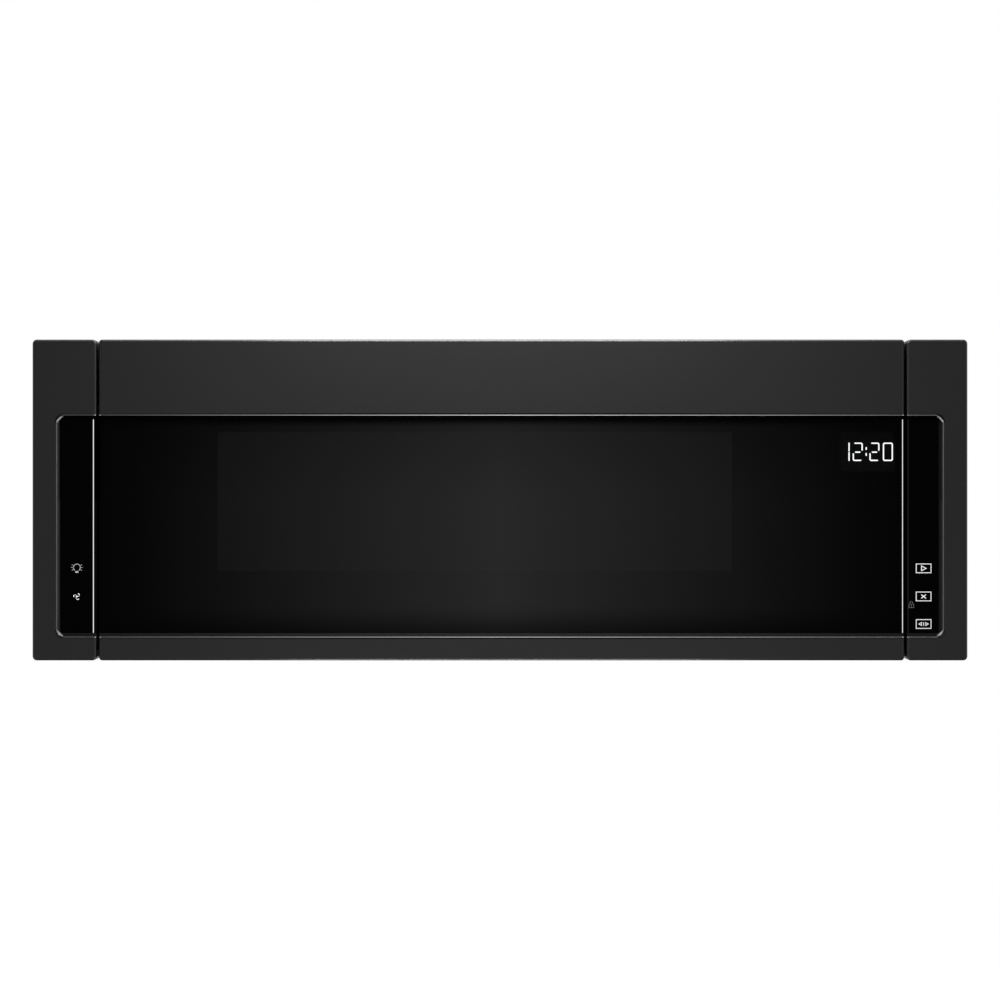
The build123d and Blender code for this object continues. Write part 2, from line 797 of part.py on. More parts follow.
def fascia_block(x, corner, back):
    """The outside of a fascia piece, with its front edges rounded."""
    with BuildPart() as block:
        with BuildSketch(facing(front)):
            with Locations(((x[0] + x[1]) / 2, 0)):
                RectangleRounded(x[1] - x[0], height, corner)
        extrude(amount=front - back)
        fillet(block.faces().sort_by(Axis.Y)[0].edges(), edge_round)
        add(glass_pocket.part, mode=Mode.SUBTRACT)
        inside_x = (x[0] + fascia_wall, x[1] - fascia_wall)
        slab(inside_x, (seat_back, back + 1), (hollow_bottom, hollow_top), Mode.SUBTRACT)
        slab(inside_x, (band_inside, back + 1), upper_band_z, Mode.SUBTRACT)
        slab(inside_x, (band_inside, back + 1), lower_band_z, Mode.SUBTRACT)
    return block.part


def glass_strip(x, round_left, round_right, bright_left, bright_right):
    """A strip of glass in the pocket, with rounded outer corners and bevelled open edges."""
    with BuildPart() as strip:
        slab(x, (glass_front, glass_back), (glass_bottom, glass_top))
        corners = strip.edges().filter_by(Axis.Y).group_by(Axis.X)
        if round_left:
            fillet(corners[0], pocket_radius - recess - glass_clearance)
        if round_right:
            fillet(corners[-1], pocket_radius - recess - glass_clearance)
        rims = strip.faces().sort_by(Axis.Y)[0].edges().filter_by(Axis.Z).group_by(Axis.X)
        if bright_left:
            chamfer(rims[0], glass_chamfer)
        if bright_right:
            chamfer(rims[-1], glass_chamfer)
    return strip.part


with BuildPart() as left_column:
    add(fascia_block((left, left_column_edge), column_corner, chassis_front))
save(left_column, "left_column")

with BuildPart() as right_column:
    add(fascia_block((right_column_edge, right), column_corner, chassis_front))
save(right_column, "right_column")

with BuildPart() as left_column_glass:
    add(glass_strip((-glass_end, left_column_edge - column_glass_inset), True, False, False, True))
save(left_column_glass, "left_column_glass")

with BuildPart() as right_column_glass:
    add(glass_strip((right_column_edge + door_glass_inset, glass_end), False, True, True, False))
save(right_column_glass, "right_column_glass")

with BuildPart() as door_glass:
    add(glass_strip((door_left + door_glass_inset, door_right - door_glass_inset), False, False, True, True))
save(door_glass, "door_glass")

# boards that sense a finger on each strip
with BuildPart() as touch_boards:
    board_y = (seat_back, seat_back + board_thickness)
    left_board_x = (left + fascia_wall + board_margin, left_column_edge - fascia_wall - board_margin)
    right_board_x = (right_column_edge + fascia_wall + board_margin, right - fascia_wall - board_margin)
    board_z = (glass_bottom + board_margin, glass_top - board_margin)
    slab(left_board_x, board_y, board_z)
    slab(right_board_x, board_y, board_z)
    for board_x in (left_board_x, right_board_x):
        plug_x = around(sum(board_x) / 2, plug_width / 2)
        slab(plug_x, (board_y[1], board_y[1] + plug_depth), around(plug_z, plug_width / 2))
save(touch_boards, "touch_boards")

# ================================================================= door
upper_boss_z = (upper_arm_bottom - boss_gap - pin_length, upper_arm_bottom - boss_gap)
lower_boss_z = (lower_arm_top + boss_gap, lower_arm_top + boss_gap + pin_length)
choke_boss_x = (choke_left + choke_groove / 2, cavity_centre_x, choke_right - choke_groove / 2)
upper_choke_boss_z = choke_top - choke_groove / 2
lower_choke_boss_z = choke_bottom + choke_groove / 2
spring_foot = latch_half_length
spring_seat = spring_foot + spring_gap
guide_left = (latch_left - slide_play - guide_wall, latch_left - slide_play)
guide_right = (latch_right + slide_play, latch_right + slide_play + guide_wall)

with BuildPart() as door_frame:
    add(fascia_block((door_left, door_right), door_corner, door_back))
    # window and display openings in the seat behind the glass
    slab(
        (window_left - seat_window_margin, window_right + seat_window_margin),
        (glass_back - 1, seat_back + 1),
        (window_bottom - seat_window_margin / 2, window_top + seat_window_margin / 2),
        Mode.SUBTRACT,
    )
    slab(
        around(display_x, display_width / 2 + display_clearance),
        (glass_back - 1, seat_back + 1),
        around(display_z, display_height / 2 + display_clearance),
        Mode.SUBTRACT,
    )
    # stand-offs that carry the choke frame
    for x in choke_boss_x:
        upper_length = choke_front - band_inside
        lower_length = choke_front - seat_back
        rod((x, choke_front - upper_length / 2, upper_choke_boss_z), boss_radius, upper_length, along_y)
        rod((x, choke_front - lower_length / 2, lower_choke_boss_z), boss_radius, lower_length, along_y)
    # hinge bosses, tied to the front wall
    for boss_z in (upper_boss_z, lower_boss_z):
        boss_middle = (boss_z[0] + boss_z[1]) / 2
        rod((hinge_x, hinge_y, boss_middle), bush_radius + boss_wall, pin_length)
        slab((door_left + fascia_wall - 0.5, hinge_x), (band_inside - 0.5, hinge_y), boss_z)
        rod((hinge_x, hinge_y, boss_middle), bush_radius, pin_length + 1, mode=Mode.SUBTRACT)
    # the latch bar slides between two pairs of ribs, under a spring seat
    for rib_z in (upper_guide_z, lower_guide_z):
        slab(guide_left, (seat_back, bar_back), rib_z)
        slab(guide_right, (seat_back, bar_back), rib_z)
    seat_z = (spring_seat, spring_seat + spring_seat_thickness)
    slab((guide_left[0], guide_right[1]), (band_inside, bar_back), seat_z)
    # room for the hinge arms as the door swings
    for slot in (upper_arm_slot, lower_arm_slot):
        slab((door_left - 1, door_left + fascia_wall + 1), (band_inside, door_back + 1), slot, Mode.SUBTRACT)
save(door_frame, "door_frame")

with BuildPart() as hinge_bushes:
    for boss_z in (upper_boss_z, lower_boss_z):
        rod((hinge_x, hinge_y, (boss_z[0] + boss_z[1]) / 2), bush_radius, pin_length)
    rod((hinge_x, hinge_y, lower_boss_z[0] - bush_stand / 2), bush_radius, bush_stand)
    rod((hinge_x, hinge_y, 0), pin_radius + pin_clearance, height, mode=Mode.SUBTRACT)
save(hinge_bushes, "hinge_bushes")

with BuildPart() as choke_frame:
    slab((choke_left, choke_right), (choke_front, liner_front), (choke_bottom, choke_top))
    slab(
        (choke_left + choke_groove, choke_right - choke_groove),
        (choke_front - 1, plate_front),
        (choke_bottom + choke_groove, choke_top - choke_groove),
        Mode.SUBTRACT,
    )
    # the quarter-wave groove, open to the rear
    with BuildSketch(facing(liner_front)):
        with Locations((cavity_centre_x, (choke_bottom + choke_top) / 2)):
            Rectangle(choke_right - choke_left - 2 * choke_sheet, choke_top - choke_bottom - 2 * choke_sheet)
            Rectangle(
                choke_right - choke_left - 2 * (choke_groove - choke_sheet),
                choke_top - choke_bottom - 2 * (choke_groove - choke_sheet),
                mode=Mode.SUBTRACT,
            )
    extrude(amount=choke_depth - choke_sheet, mode=Mode.SUBTRACT)
    slab(
        (window_left, window_right),
        (plate_front - 1, liner_front + 1),
        (window_bottom, window_top),
        Mode.SUBTRACT,
    )
save(choke_frame, "choke_frame")

with BuildPart() as window_screen:
    slab(
        (window_left - screen_overlap, window_right + screen_overlap),
        (plate_front - screen_thickness, plate_front),
        (window_bottom - screen_overlap, window_top + screen_overlap),
    )
save(window_screen, "window_screen")

with BuildPart() as inner_pane:
    slab(
        (window_left - pane_overlap, window_right + pane_overlap),
        (liner_front, liner_front + pane_thickness),
        (window_bottom - pane_overlap, window_top + pane_overlap),
    )
    fillet(inner_pane.edges().filter_by(Axis.Y), pane_corner)
save(inner_pane, "inner_pane")

with BuildPart() as door_liner:
    liner_margin = fascia_wall + liner_clearance
    slab(
        (door_left + liner_margin, door_right - liner_margin),
        (liner_front, liner_back),
        (bottom + liner_margin, top - liner_margin),
    )
    with BuildSketch(facing(liner_front)):
        with Locations((cavity_centre_x, window_centre_z)):
            RectangleRounded(
                2 * (window_half_width + pane_overlap + liner_clearance),
                2 * (window_half_height + pane_overlap + liner_clearance),
                pane_corner,
            )
    extrude(amount=-liner_thickness, mode=Mode.SUBTRACT)
    for offset in hook_offsets:
        slab(hook_slot_x, (liner_front - 1, liner_back + 1), hook_slot_z(offset), Mode.SUBTRACT)
    notch_x = (door_left, arm_right + hinge_flange_margin)
    slab(notch_x, (liner_front - 1, liner_back + 1), (upper_arm_slot[0], top), Mode.SUBTRACT)
    slab(notch_x, (liner_front - 1, liner_back + 1), (bottom, lower_arm_slot[1]), Mode.SUBTRACT)
save(door_liner, "door_liner")

with BuildPart() as display_module:
    slab(
        around(display_x, display_width / 2),
        (glass_back, glass_back + display_depth),
        around(display_z, display_height / 2),
    )
    chamfer(display_module.faces().sort_by(Axis.Y)[-1].edges(), display_bevel)
save(display_module, "display_module")

with BuildPart() as door_touch_board:
    board_back = seat_back + board_thickness
    slab(around(key_board_x, key_board_width / 2), (seat_back, board_back), key_board_z)
    slab(around(key_board_x, plug_width / 2), (board_back, board_back + plug_depth), key_plug_z)
save(door_touch_board, "door_touch_board")


def hinge_arm(arm_z, pin_z, flange_span):
    """A fixed hinge arm: hub and pin in the door, arm through the front plate, flange behind it."""
    with BuildPart() as hinge:
        with BuildSketch(Plane.XY.offset(arm_z[0])):
            with Locations((hinge_x, hinge_y)):
                Circle(arm_hub_radius)
            with BuildLine():
                Polyline(
                    (hinge_x - arm_hub_radius, hinge_y),
                    (hinge_x, hinge_y - arm_hub_radius),
                    (hinge_x + arm_hub_radius, hinge_y),
                    (arm_right, chassis_front),
                    (arm_right, cavity_front + hinge_flange_thickness),
                    (arm_left, cavity_front + hinge_flange_thickness),
                    (arm_left, chassis_front),
                    close=True,
                )
            make_face()
        extrude(amount=arm_thickness)
        rod((hinge_x, hinge_y, (pin_z[0] + pin_z[1]) / 2), pin_radius, pin_z[1] - pin_z[0])
        slab(
            (arm_left - hinge_flange_margin, arm_right + hinge_flange_margin),
            (cavity_front, cavity_front + hinge_flange_thickness),
            flange_span,
        )
    return hinge.part


with BuildPart() as upper_hinge:
    add(
        hinge_arm(
            (upper_arm_bottom, upper_arm_top),
            (upper_arm_bottom - pin_length, upper_arm_bottom),
            (upper_arm_top - hinge_flange_height, upper_arm_top),
        )
    )
save(upper_hinge, "upper_hinge")

with BuildPart() as lower_hinge:
    add(
        hinge_arm(
            (lower_arm_bottom, lower_arm_top),
            (lower_arm_top, lower_arm_top + pin_length),
            (lower_arm_bottom, lower_arm_bottom + hinge_flange_height),
        )
    )
save(lower_hinge, "lower_hinge")

# ================================================================= latch and its release
with BuildPart() as latch_bar:
    slab((latch_left, latch_right), (bar_front, bar_back), around(0, latch_half_length))
    for offset in hook_offsets:
        hook_top = offset + hook_height / 2
        slab((latch_left, latch_right), (bar_back, nose_back), (hook_top - hook_neck, hook_top))
        slab((latch_left, latch_right), (nose_front, nose_back), around(offset, hook_height / 2))
save(latch_bar, "latch_bar")

with BuildPart() as latch_spring:
    coil_height = spring_seat - spring_foot - 2 * spring_wire
    with BuildLine() as coil:
        Helix(
            coil_height / spring_turns,
            coil_height,
            spring_radius,
            center=(latch_x, (bar_front + bar_back) / 2, spring_foot + spring_wire),
        )
    with BuildSketch(Plane(coil.line @ 0, z_dir=coil.line % 0)):
        Circle(spring_wire)
    sweep(is_frenet=True)
save(latch_spring, "latch_spring")

keeper_x = around(latch_x + keeper_offset, keeper_half_width)
cheek_x = (keeper_x[1] - cheek_thickness, keeper_x[1])
release_front = nose_back + slider_setback
release_back = release_front + release_bar_depth
plunger_y = release_back + solenoid_depth / 2 + slider_setback
solenoid_y = around(plunger_y, solenoid_depth / 2)

with BuildPart() as interlock_bracket:
    slab(keeper_x, (cavity_front, keeper_back), around(0, keeper_half_height))
    slab(cheek_x, (keeper_back, release_back), around(0, keeper_half_height))
    slab(cheek_x, (release_back, solenoid_y[1] + cheek_thickness), (solenoid_bottom, solenoid_top))
    for offset in hook_offsets:
        slab(hook_slot_x, (cavity_front - 1, keeper_back + 1), hook_slot_z(offset), Mode.SUBTRACT)
    # ribs that guide the release slider
    for rib_z in slider_guide_z:
        slab(guide_left, (keeper_back, release_back), rib_z)
        slab(guide_right, (keeper_back, release_back), rib_z)
save(interlock_bracket, "interlock_bracket")

with BuildPart() as interlock_switches:
    switch_x = (cheek_x[1], cheek_x[1] + switch_thickness)
    button_y = (nose_front, nose_front + switch_button)
    for z in switch_z:
        button_z = (z + switch_size / 2, z + switch_size / 2 + switch_button_height)
        slab(switch_x, (keeper_back, release_back), around(z, switch_size / 2))
        slab(around(sum(switch_x) / 2, switch_button / 2), button_y, button_z)
save(interlock_switches, "interlock_switches")

with BuildPart() as release_solenoid:
    solenoid_x = (cheek_x[0] - solenoid_width, cheek_x[0])
    slab(solenoid_x, solenoid_y, (solenoid_bottom, solenoid_top))
    fillet(release_solenoid.edges().filter_by(Axis.Z), solenoid_edge)
    bore_height = plunger_top - solenoid_bottom + plunger_room
    rod(
        (latch_x, plunger_y, solenoid_bottom),
        plunger_radius + plunger_clearance,
        2 * bore_height,
        mode=Mode.SUBTRACT,
    )
save(release_solenoid, "release_solenoid")

with BuildPart() as release_slider:
    slider_x = (latch_left, latch_right)
    pad_below = hook_height / 2 + slider_gap
    lowest_pad = -hook_z - pad_below - slider_pad
    highest_pad = hook_z - pad_below
    slab(slider_x, (release_front, release_back), (lowest_pad, highest_pad))
    for offset in hook_offsets:
        pad_z = (offset - pad_below - slider_pad, offset - pad_below)
        slab(slider_x, (nose_front + slider_setback, release_back), pad_z)
    link_x = around(latch_x, plunger_radius - slide_play - 1)
    slab(link_x, (release_back, plunger_y), (link_bottom, link_bottom + slider_pad))
    plunger_length = plunger_top - plunger_bottom
    rod((latch_x, plunger_y, (plunger_bottom + plunger_top) / 2), plunger_radius, plunger_length)
save(release_slider, "release_slider")

# ================================================================= hood
with BuildPart() as vent_grille:
    lip_x = around(0, grille_length / 2 + grille_lip)
    lip_y = (grille_y[0] - grille_lip, grille_y[1] + grille_lip)
    slab(lip_x, lip_y, (case_top, top))
    slab(around(0, grille_length / 2), grille_y, (top - grille_depth, case_top))
    slab(
        around(0, grille_length / 2 - grille_wall),
        (grille_y[0] + grille_wall, grille_y[1] - grille_wall),
        (top - 2 * grille_depth, top + 1),
        Mode.SUBTRACT,
    )
    slat_pitch = (grille_width - 2 * grille_wall) / slat_count
    for k in range(slat_count):
        slat_y = grille_y[0] + grille_wall + (k + 0.5) * slat_pitch
        with Locations(Location((0, slat_y, top - grille_depth / 2), (slat_tilt, 0, 0))):
            Box(grille_length - grille_wall, slat_width, slat_thickness)
    for x in (-grille_length / 6, grille_length / 6):
        slab(around(x, 1), (grille_y[0] + 1, grille_y[1] - 1), (top - grille_depth, top - 1))
    slab(lip_x, lip_y, (top, top + 2 * slat_width), Mode.SUBTRACT)
    slab(lip_x, lip_y, (top - grille_depth - slat_width, top - grille_depth), Mode.SUBTRACT)
save(vent_grille, "vent_grille")

duct_x = grille_length / 2
duct_front = grille_y[0]
mouth_z = (blower_z + scroll_radius - scroll_mouth, blower_z + scroll_radius)

with BuildPart() as plenum_duct:
    for side in (-1, 1):
        wall_x = sorted((side * duct_x, side * (duct_x + sheet)))
        slab(wall_x, (duct_front - sheet, rear_wall_back), (roof_top, inner_top))
    slab(around(0, duct_x), (duct_front - sheet, duct_front), (roof_top, inner_top))
    slab(around(0, duct_x), (rear_wall_back - sheet, rear_wall_back), (roof_top, inner_top))
    for side in (-1, 1):
        mouth_x = around(side * wheel_x, wheel_length / 2)
        slab(
            mouth_x,
            (cavity_back - sheet, rear_wall_back + sheet),
            (mouth_z[0] + scroll_sheet, mouth_z[1] - scroll_sheet),
            Mode.SUBTRACT,
        )
save(plenum_duct, "plenum_duct")

charcoal_y = (grille_y[1] + charcoal_gap, grille_y[1] + charcoal_gap + charcoal_thickness)
with BuildPart() as charcoal_filter:
    slab(around(0, duct_x), charcoal_y, (roof_top, inner_top))
    recess_z = (roof_top + charcoal_rim, inner_top - charcoal_rim)
    for recess_y in (charcoal_y[0], charcoal_y[1]):
        slab(around(0, duct_x - charcoal_rim), around(recess_y, charcoal_recess), recess_z, Mode.SUBTRACT)
save(charcoal_filter, "charcoal_filter")

for side, name in ((-1, "left_filter"), (1, "right_filter")):
    with BuildPart() as grease_filter:
        filter_x = around(side * filter_centre_x, filter_length / 2)
        slab(filter_x, filter_y, (case_bottom, case_bottom + filter_thickness))
        inside_x = (filter_x[0] + filter_rim, filter_x[1] - filter_rim)
        inside_y = (filter_y[0] + filter_rim, filter_y[1] - filter_rim)
        mesh_z = around(case_bottom + filter_thickness / 2, filter_mesh / 2)
        slab(inside_x, inside_y, (case_bottom - 1, mesh_z[0]), Mode.SUBTRACT)
        slab(inside_x, inside_y, (mesh_z[1], case_bottom + filter_thickness + 1), Mode.SUBTRACT)
        # pull tab near the free edge
        tab_x = around(side * filter_centre_x, filter_tab / 2)
        tab_z = (case_bottom + filter_tab_recess, mesh_z[0])
        slab(tab_x, (inside_y[0], inside_y[0] + filter_tab_depth), tab_z)
    save(grease_filter, name)

with BuildPart() as cooktop_lights:
    for side in (-1, 1):
        housing_x = around(side * light_x, light_length / 2 + light_rim)
        housing_y = around(light_y, light_width / 2 + light_rim)
        slab(housing_x, housing_y, (pan_top, pan_top + light_height))
        slab(
            around(side * light_x, light_length / 2 - light_rim),
            around(light_y, light_width / 2 - light_rim),
            (pan_top - 1, pan_top + light_height - light_roof),
            Mode.SUBTRACT,
        )
        cap_z = pan_top + light_height - lamp_cap_height / 2
        rod((side * light_x, light_y, cap_z), lamp_cap_radius, lamp_cap_height)
save(cooktop_lights, "cooktop_lights")

with BuildPart() as light_lenses:
    for side in (-1, 1):
        slab(
            around(side * light_x, light_length / 2 - light_clearance),
            around(light_y, light_width / 2 - light_clearance),
            (case_bottom, pan_top),
        )
save(light_lenses, "light_lenses")

# ================================================================= vent blower
with BuildPart() as blower_housings:
    for side in (-1, 1):
        with BuildSketch(Plane.YZ.offset(side * wheel_x)):
            with Locations((blower_y, blower_z)):
                Circle(scroll_radius)
            with Locations(((rear_wall_back + blower_y) / 2, (mouth_z[0] + mouth_z[1]) / 2)):
                Rectangle(blower_y - rear_wall_back, scroll_mouth)
        extrude(amount=housing_half, both=True)
        foot_y = (blower_y + scroll_radius - foot_overlap, inner_back)
        foot_z = around(blower_z, housing_foot_height / 2)
        slab(around(side * wheel_x, housing_foot_width / 2), foot_y, foot_z)
    for side in (-1, 1):
        with BuildSketch(Plane.YZ.offset(side * wheel_x)):
            with Locations((blower_y, blower_z)):
                Circle(scroll_radius - scroll_sheet)
            with Locations(((rear_wall_back + blower_y) / 2 - scroll_sheet, (mouth_z[0] + mouth_z[1]) / 2)):
                Rectangle(blower_y - rear_wall_back + 2 * scroll_sheet, scroll_mouth - 2 * scroll_sheet)
        extrude(amount=wheel_length / 2 + scroll_end_gap, both=True, mode=Mode.SUBTRACT)
        rod((side * wheel_x, blower_y, blower_z), inlet_radius, 2 * wheel_length, along_x, Mode.SUBTRACT)
save(blower_housings, "blower_housings")

with BuildPart() as blower_motor:
    rod((0, blower_y, blower_z), blower_motor_radius, blower_motor_length, along_x)
    fillet(blower_motor.edges().filter_by(GeomType.CIRCLE), blower_motor_edge)
    foot_y = (blower_y + blower_motor_radius * 3 / 4, inner_back)
    slab(around(0, motor_foot_width / 2), foot_y, around(blower_z, motor_foot_height / 2))
    bore_radius = shaft_radius + shaft_clearance
    rod((0, blower_y, blower_z), bore_radius, 2 * blower_motor_length, along_x, Mode.SUBTRACT)
save(blower_motor, "blower_motor")

with BuildPart() as blower_shaft:
    rod((0, blower_y, blower_z), shaft_radius, 2 * (wheel_x + wheel_length / 2), along_x)
save(blower_shaft, "blower_shaft")

with BuildPart() as blower_wheels:
    for side in (-1, 1):
        wheel_middle = side * wheel_x
        rod((wheel_middle, blower_y, blower_z), wheel_radius - wheel_plate / 2, wheel_plate, along_x)
        rod((wheel_middle, blower_y, blower_z), wheel_hub_radius, wheel_hub_length, along_x)
        for k in range(blade_count):
            angle = 360 / blade_count * k
            with Locations(Location((wheel_middle, blower_y, blower_z), (angle, 0, 0))):
                with Locations(Location((0, 0, wheel_radius - blade_depth * 0.6), (blade_twist, 0, 0))):
                    Box(wheel_length, blade_thickness, blade_depth)
        for end in (-1, 1):
            ring_x = wheel_middle + end * (wheel_length - wheel_plate) / 2
            with BuildSketch(Plane.YZ.offset(ring_x - wheel_plate / 2)):
                with Locations((blower_y, blower_z)):
                    Circle(wheel_radius)
                    Circle(wheel_radius - 1.2 * blade_depth, mode=Mode.SUBTRACT)
            extrude(amount=wheel_plate)
    rod((0, blower_y, blower_z), shaft_radius, width, along_x, Mode.SUBTRACT)
save(blower_wheels, "blower_wheels")

# ================================================================= right-hand bay
guide_right_x = wall_right + guide_depth
guide_y_span = around(guide_y, guide_half_length)
guide_z_span = around(guide_z, guide_half_height)

with BuildPart() as waveguide:
    slab((wall_right, guide_right_x), guide_y_span, guide_z_span)
    slab(
        (wall_right - 1, guide_right_x - guide_sheet),
        (guide_y_span[0] + guide_sheet, guide_y_span[1] - guide_sheet),
        (guide_z_span[0] + guide_sheet, guide_z_span[1] - guide_sheet),
        Mode.SUBTRACT,
    )
    hole_radius = antenna_radius + antenna_clearance
    rod((guide_right_x, guide_y, guide_z), hole_radius, 4 * guide_sheet, along_x, Mode.SUBTRACT)
save(waveguide, "waveguide")

with BuildPart() as magnetron:
    body_x = (guide_right_x, guide_right_x + magnetron_length)
    body_y = around(guide_y, magnetron_half_width)
    body_z = around(guide_z, magnetron_half_height)
    yoke_x = (body_x[0], body_x[1] - filter_box)
    slab((yoke_x[0], yoke_x[0] + magnetron_plate), body_y, body_z)
    slab((yoke_x[1] - magnetron_plate, yoke_x[1]), body_y, body_z)
    slab(yoke_x, body_y, (body_z[0], body_z[0] + magnetron_plate))
    slab(yoke_x, body_y, (body_z[1] - magnetron_plate, body_z[1]))
    rod((sum(yoke_x) / 2, guide_y, guide_z), anode_radius, yoke_x[1] - yoke_x[0], along_x)
    fin_pitch = (yoke_x[1] - yoke_x[0]) / (fin_count + 1)
    for k in range(1, fin_count + 1):
        fin_x = yoke_x[0] + k * fin_pitch
        slab(around(fin_x, fin_thickness / 2), (body_y[0] + fin_inset, body_y[1] - fin_inset), body_z)
    slab((yoke_x[1], body_x[1]), around(guide_y, filter_box), around(guide_z, filter_box))
    rod((guide_right_x, guide_y, guide_z), antenna_radius, 2 * antenna_length, along_x)
save(magnetron, "magnetron")

shroud_y = (shroud_front, shroud_front + shroud_thickness)
blade_back = shroud_y[1] + fan_blade_depth
motor_front = blade_back + fan_motor_gap
motor_back = motor_front + fan_motor_length
strap_back = motor_back + fan_strap_thickness
shaft_end = motor_front + fan_shaft_depth
hub_y = shroud_y[1] + fan_blade_depth / 2

with BuildPart() as fan_shroud:
    slab((wall_right, inner_side), shroud_y, (shroud_bottom, roof_top))
    rod((fan_x, shroud_front, fan_z), fan_opening, 4 * shroud_thickness, along_y, Mode.SUBTRACT)
save(fan_shroud, "fan_shroud")

with BuildPart() as fan_motor:
    rod((fan_x, (motor_front + motor_back) / 2, fan_z), fan_motor_radius, fan_motor_length, along_y)
    strap_z = around(fan_z, fan_strap_width / 2)
    slab(around(fan_x, fan_opening + fan_leg_width), (motor_back, strap_back), strap_z)
    slab((fan_x - fan_opening - fan_leg_width, fan_x - fan_opening), (shroud_y[1], motor_back), strap_z)
    slab((fan_x + fan_opening, fan_x + fan_opening + fan_leg_width), (shroud_y[1], motor_back), strap_z)
    bore_radius = fan_shaft_radius + shaft_clearance
    bore_length = 2 * (fan_shaft_depth + fan_shaft_play)
    rod((fan_x, motor_front, fan_z), bore_radius, bore_length, along_y, Mode.SUBTRACT)
save(fan_motor, "fan_motor")

with BuildPart() as fan_blade:
    rod((fan_x, hub_y, fan_z), fan_hub_radius, fan_blade_depth, along_y)
    rod((fan_x, (blade_back + shaft_end) / 2, fan_z), fan_shaft_radius, shaft_end - blade_back, along_y)
    blade_middle = (fan_hub_radius + fan_radius) / 2 - blade_sink
    for k in range(fan_blade_count):
        angle = 360 / fan_blade_count * k
        with Locations(Location((fan_x, hub_y, fan_z), (0, angle, 0))):
            with Locations(Location((blade_middle, 0, 0), (fan_blade_pitch, 0, 0))):
                Box(fan_radius - fan_hub_radius, fan_blade_thickness, fan_blade_chord)
save(fan_blade, "fan_blade")

with BuildPart() as transformer:
    core_z = (pan_top, pan_top + core_height)
    winding_z = (core_z[0] + winding_inset, core_z[1] - winding_inset)
    slab(around(transformer_x, winding_length / 2), around(transformer_y, winding_width / 2), winding_z)
    fillet(transformer.edges().filter_by(Axis.Z), winding_edge)
    slab(around(transformer_x, core_length / 2), around(transformer_y, core_width / 2), core_z)
    foot_z = (pan_top, pan_top + foot_plate_thickness)
    slab(around(transformer_x, core_length / 2), around(transformer_y, foot_plate_width / 2), foot_z)
save(transformer, "transformer")

with BuildPart() as capacitor:
    with BuildSketch(Plane.XY.offset(pan_top)):
        with Locations((transformer_x, capacitor_y)):
            SlotOverall(capacitor_length, capacitor_width)
    extrude(amount=capacitor_height)
    terminal_z = (pan_top + capacitor_height, pan_top + capacitor_height + terminal_height)
    for x in (transformer_x - terminal_spacing / 2, transformer_x + terminal_spacing / 2):
        slab(around(x, terminal_width / 2), around(capacitor_y, terminal_thickness / 2), terminal_z)
save(capacitor, "capacitor")

with BuildPart() as control_board:
    board_back = inner_side - stand_off_length
    board_face = board_back - board_thickness
    slab((board_face, board_back), control_board_y, control_board_z)
    for y in (control_board_y[0] + stand_off_inset, control_board_y[1] - stand_off_inset):
        for z in (control_board_z[0] + stand_off_inset, control_board_z[1] - stand_off_inset):
            rod((inner_side - stand_off_length / 2, y, z), stand_off_radius, stand_off_length, along_x)
    for y in relay_y:
        relay_x = (board_face - relay_height, board_face)
        slab(relay_x, around(y, relay_length / 2), around(relay_z, relay_width / 2))
save(control_board, "control_board")
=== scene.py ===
import json
import bpy
import numpy as np
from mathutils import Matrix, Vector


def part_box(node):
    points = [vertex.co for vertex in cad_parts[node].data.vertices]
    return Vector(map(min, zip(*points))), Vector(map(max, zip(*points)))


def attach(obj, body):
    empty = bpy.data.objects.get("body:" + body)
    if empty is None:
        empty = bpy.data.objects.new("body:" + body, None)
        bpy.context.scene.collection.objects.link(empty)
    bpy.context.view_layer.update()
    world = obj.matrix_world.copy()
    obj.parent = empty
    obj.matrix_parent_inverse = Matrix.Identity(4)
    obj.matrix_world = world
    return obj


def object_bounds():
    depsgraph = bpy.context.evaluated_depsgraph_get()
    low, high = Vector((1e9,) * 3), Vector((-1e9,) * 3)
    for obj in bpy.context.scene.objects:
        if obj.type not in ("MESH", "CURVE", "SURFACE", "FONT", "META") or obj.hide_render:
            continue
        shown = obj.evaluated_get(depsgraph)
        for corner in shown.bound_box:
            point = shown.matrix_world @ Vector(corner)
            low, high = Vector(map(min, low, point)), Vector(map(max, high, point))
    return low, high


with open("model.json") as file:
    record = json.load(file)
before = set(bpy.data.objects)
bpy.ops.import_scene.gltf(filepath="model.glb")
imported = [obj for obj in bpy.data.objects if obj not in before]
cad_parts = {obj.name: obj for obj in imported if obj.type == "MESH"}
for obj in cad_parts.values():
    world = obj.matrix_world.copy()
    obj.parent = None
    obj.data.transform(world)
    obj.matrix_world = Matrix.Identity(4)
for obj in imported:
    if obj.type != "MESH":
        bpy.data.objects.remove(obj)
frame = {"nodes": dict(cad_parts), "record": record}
frameLow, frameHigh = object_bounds()
nodes = frame["nodes"]
mm = 0.001
print("frame loaded with", len(nodes), "nodes")


# node trees: values are wires, and + - * / < > between them add Math nodes

class Wire:
    def __init__(self, tree, socket):
        self.tree = tree
        self.socket = socket

    def __add__(self, other):
        return self.tree.maths("ADD", self, other)

    def __radd__(self, other):
        return self.tree.maths("ADD", other, self)

    def __sub__(self, other):
        return self.tree.maths("SUBTRACT", self, other)

    def __rsub__(self, other):
        return self.tree.maths("SUBTRACT", other, self)

    def __mul__(self, other):
        return self.tree.maths("MULTIPLY", self, other)

    def __rmul__(self, other):
        return self.tree.maths("MULTIPLY", other, self)

    def __truediv__(self, other):
        return self.tree.maths("DIVIDE", self, other)

    def __gt__(self, other):
        return self.tree.maths("GREATER_THAN", self, other)

    def __lt__(self, other):
        return self.tree.maths("LESS_THAN", self, other)

    def __abs__(self):
        return self.tree.maths("ABSOLUTE", self)


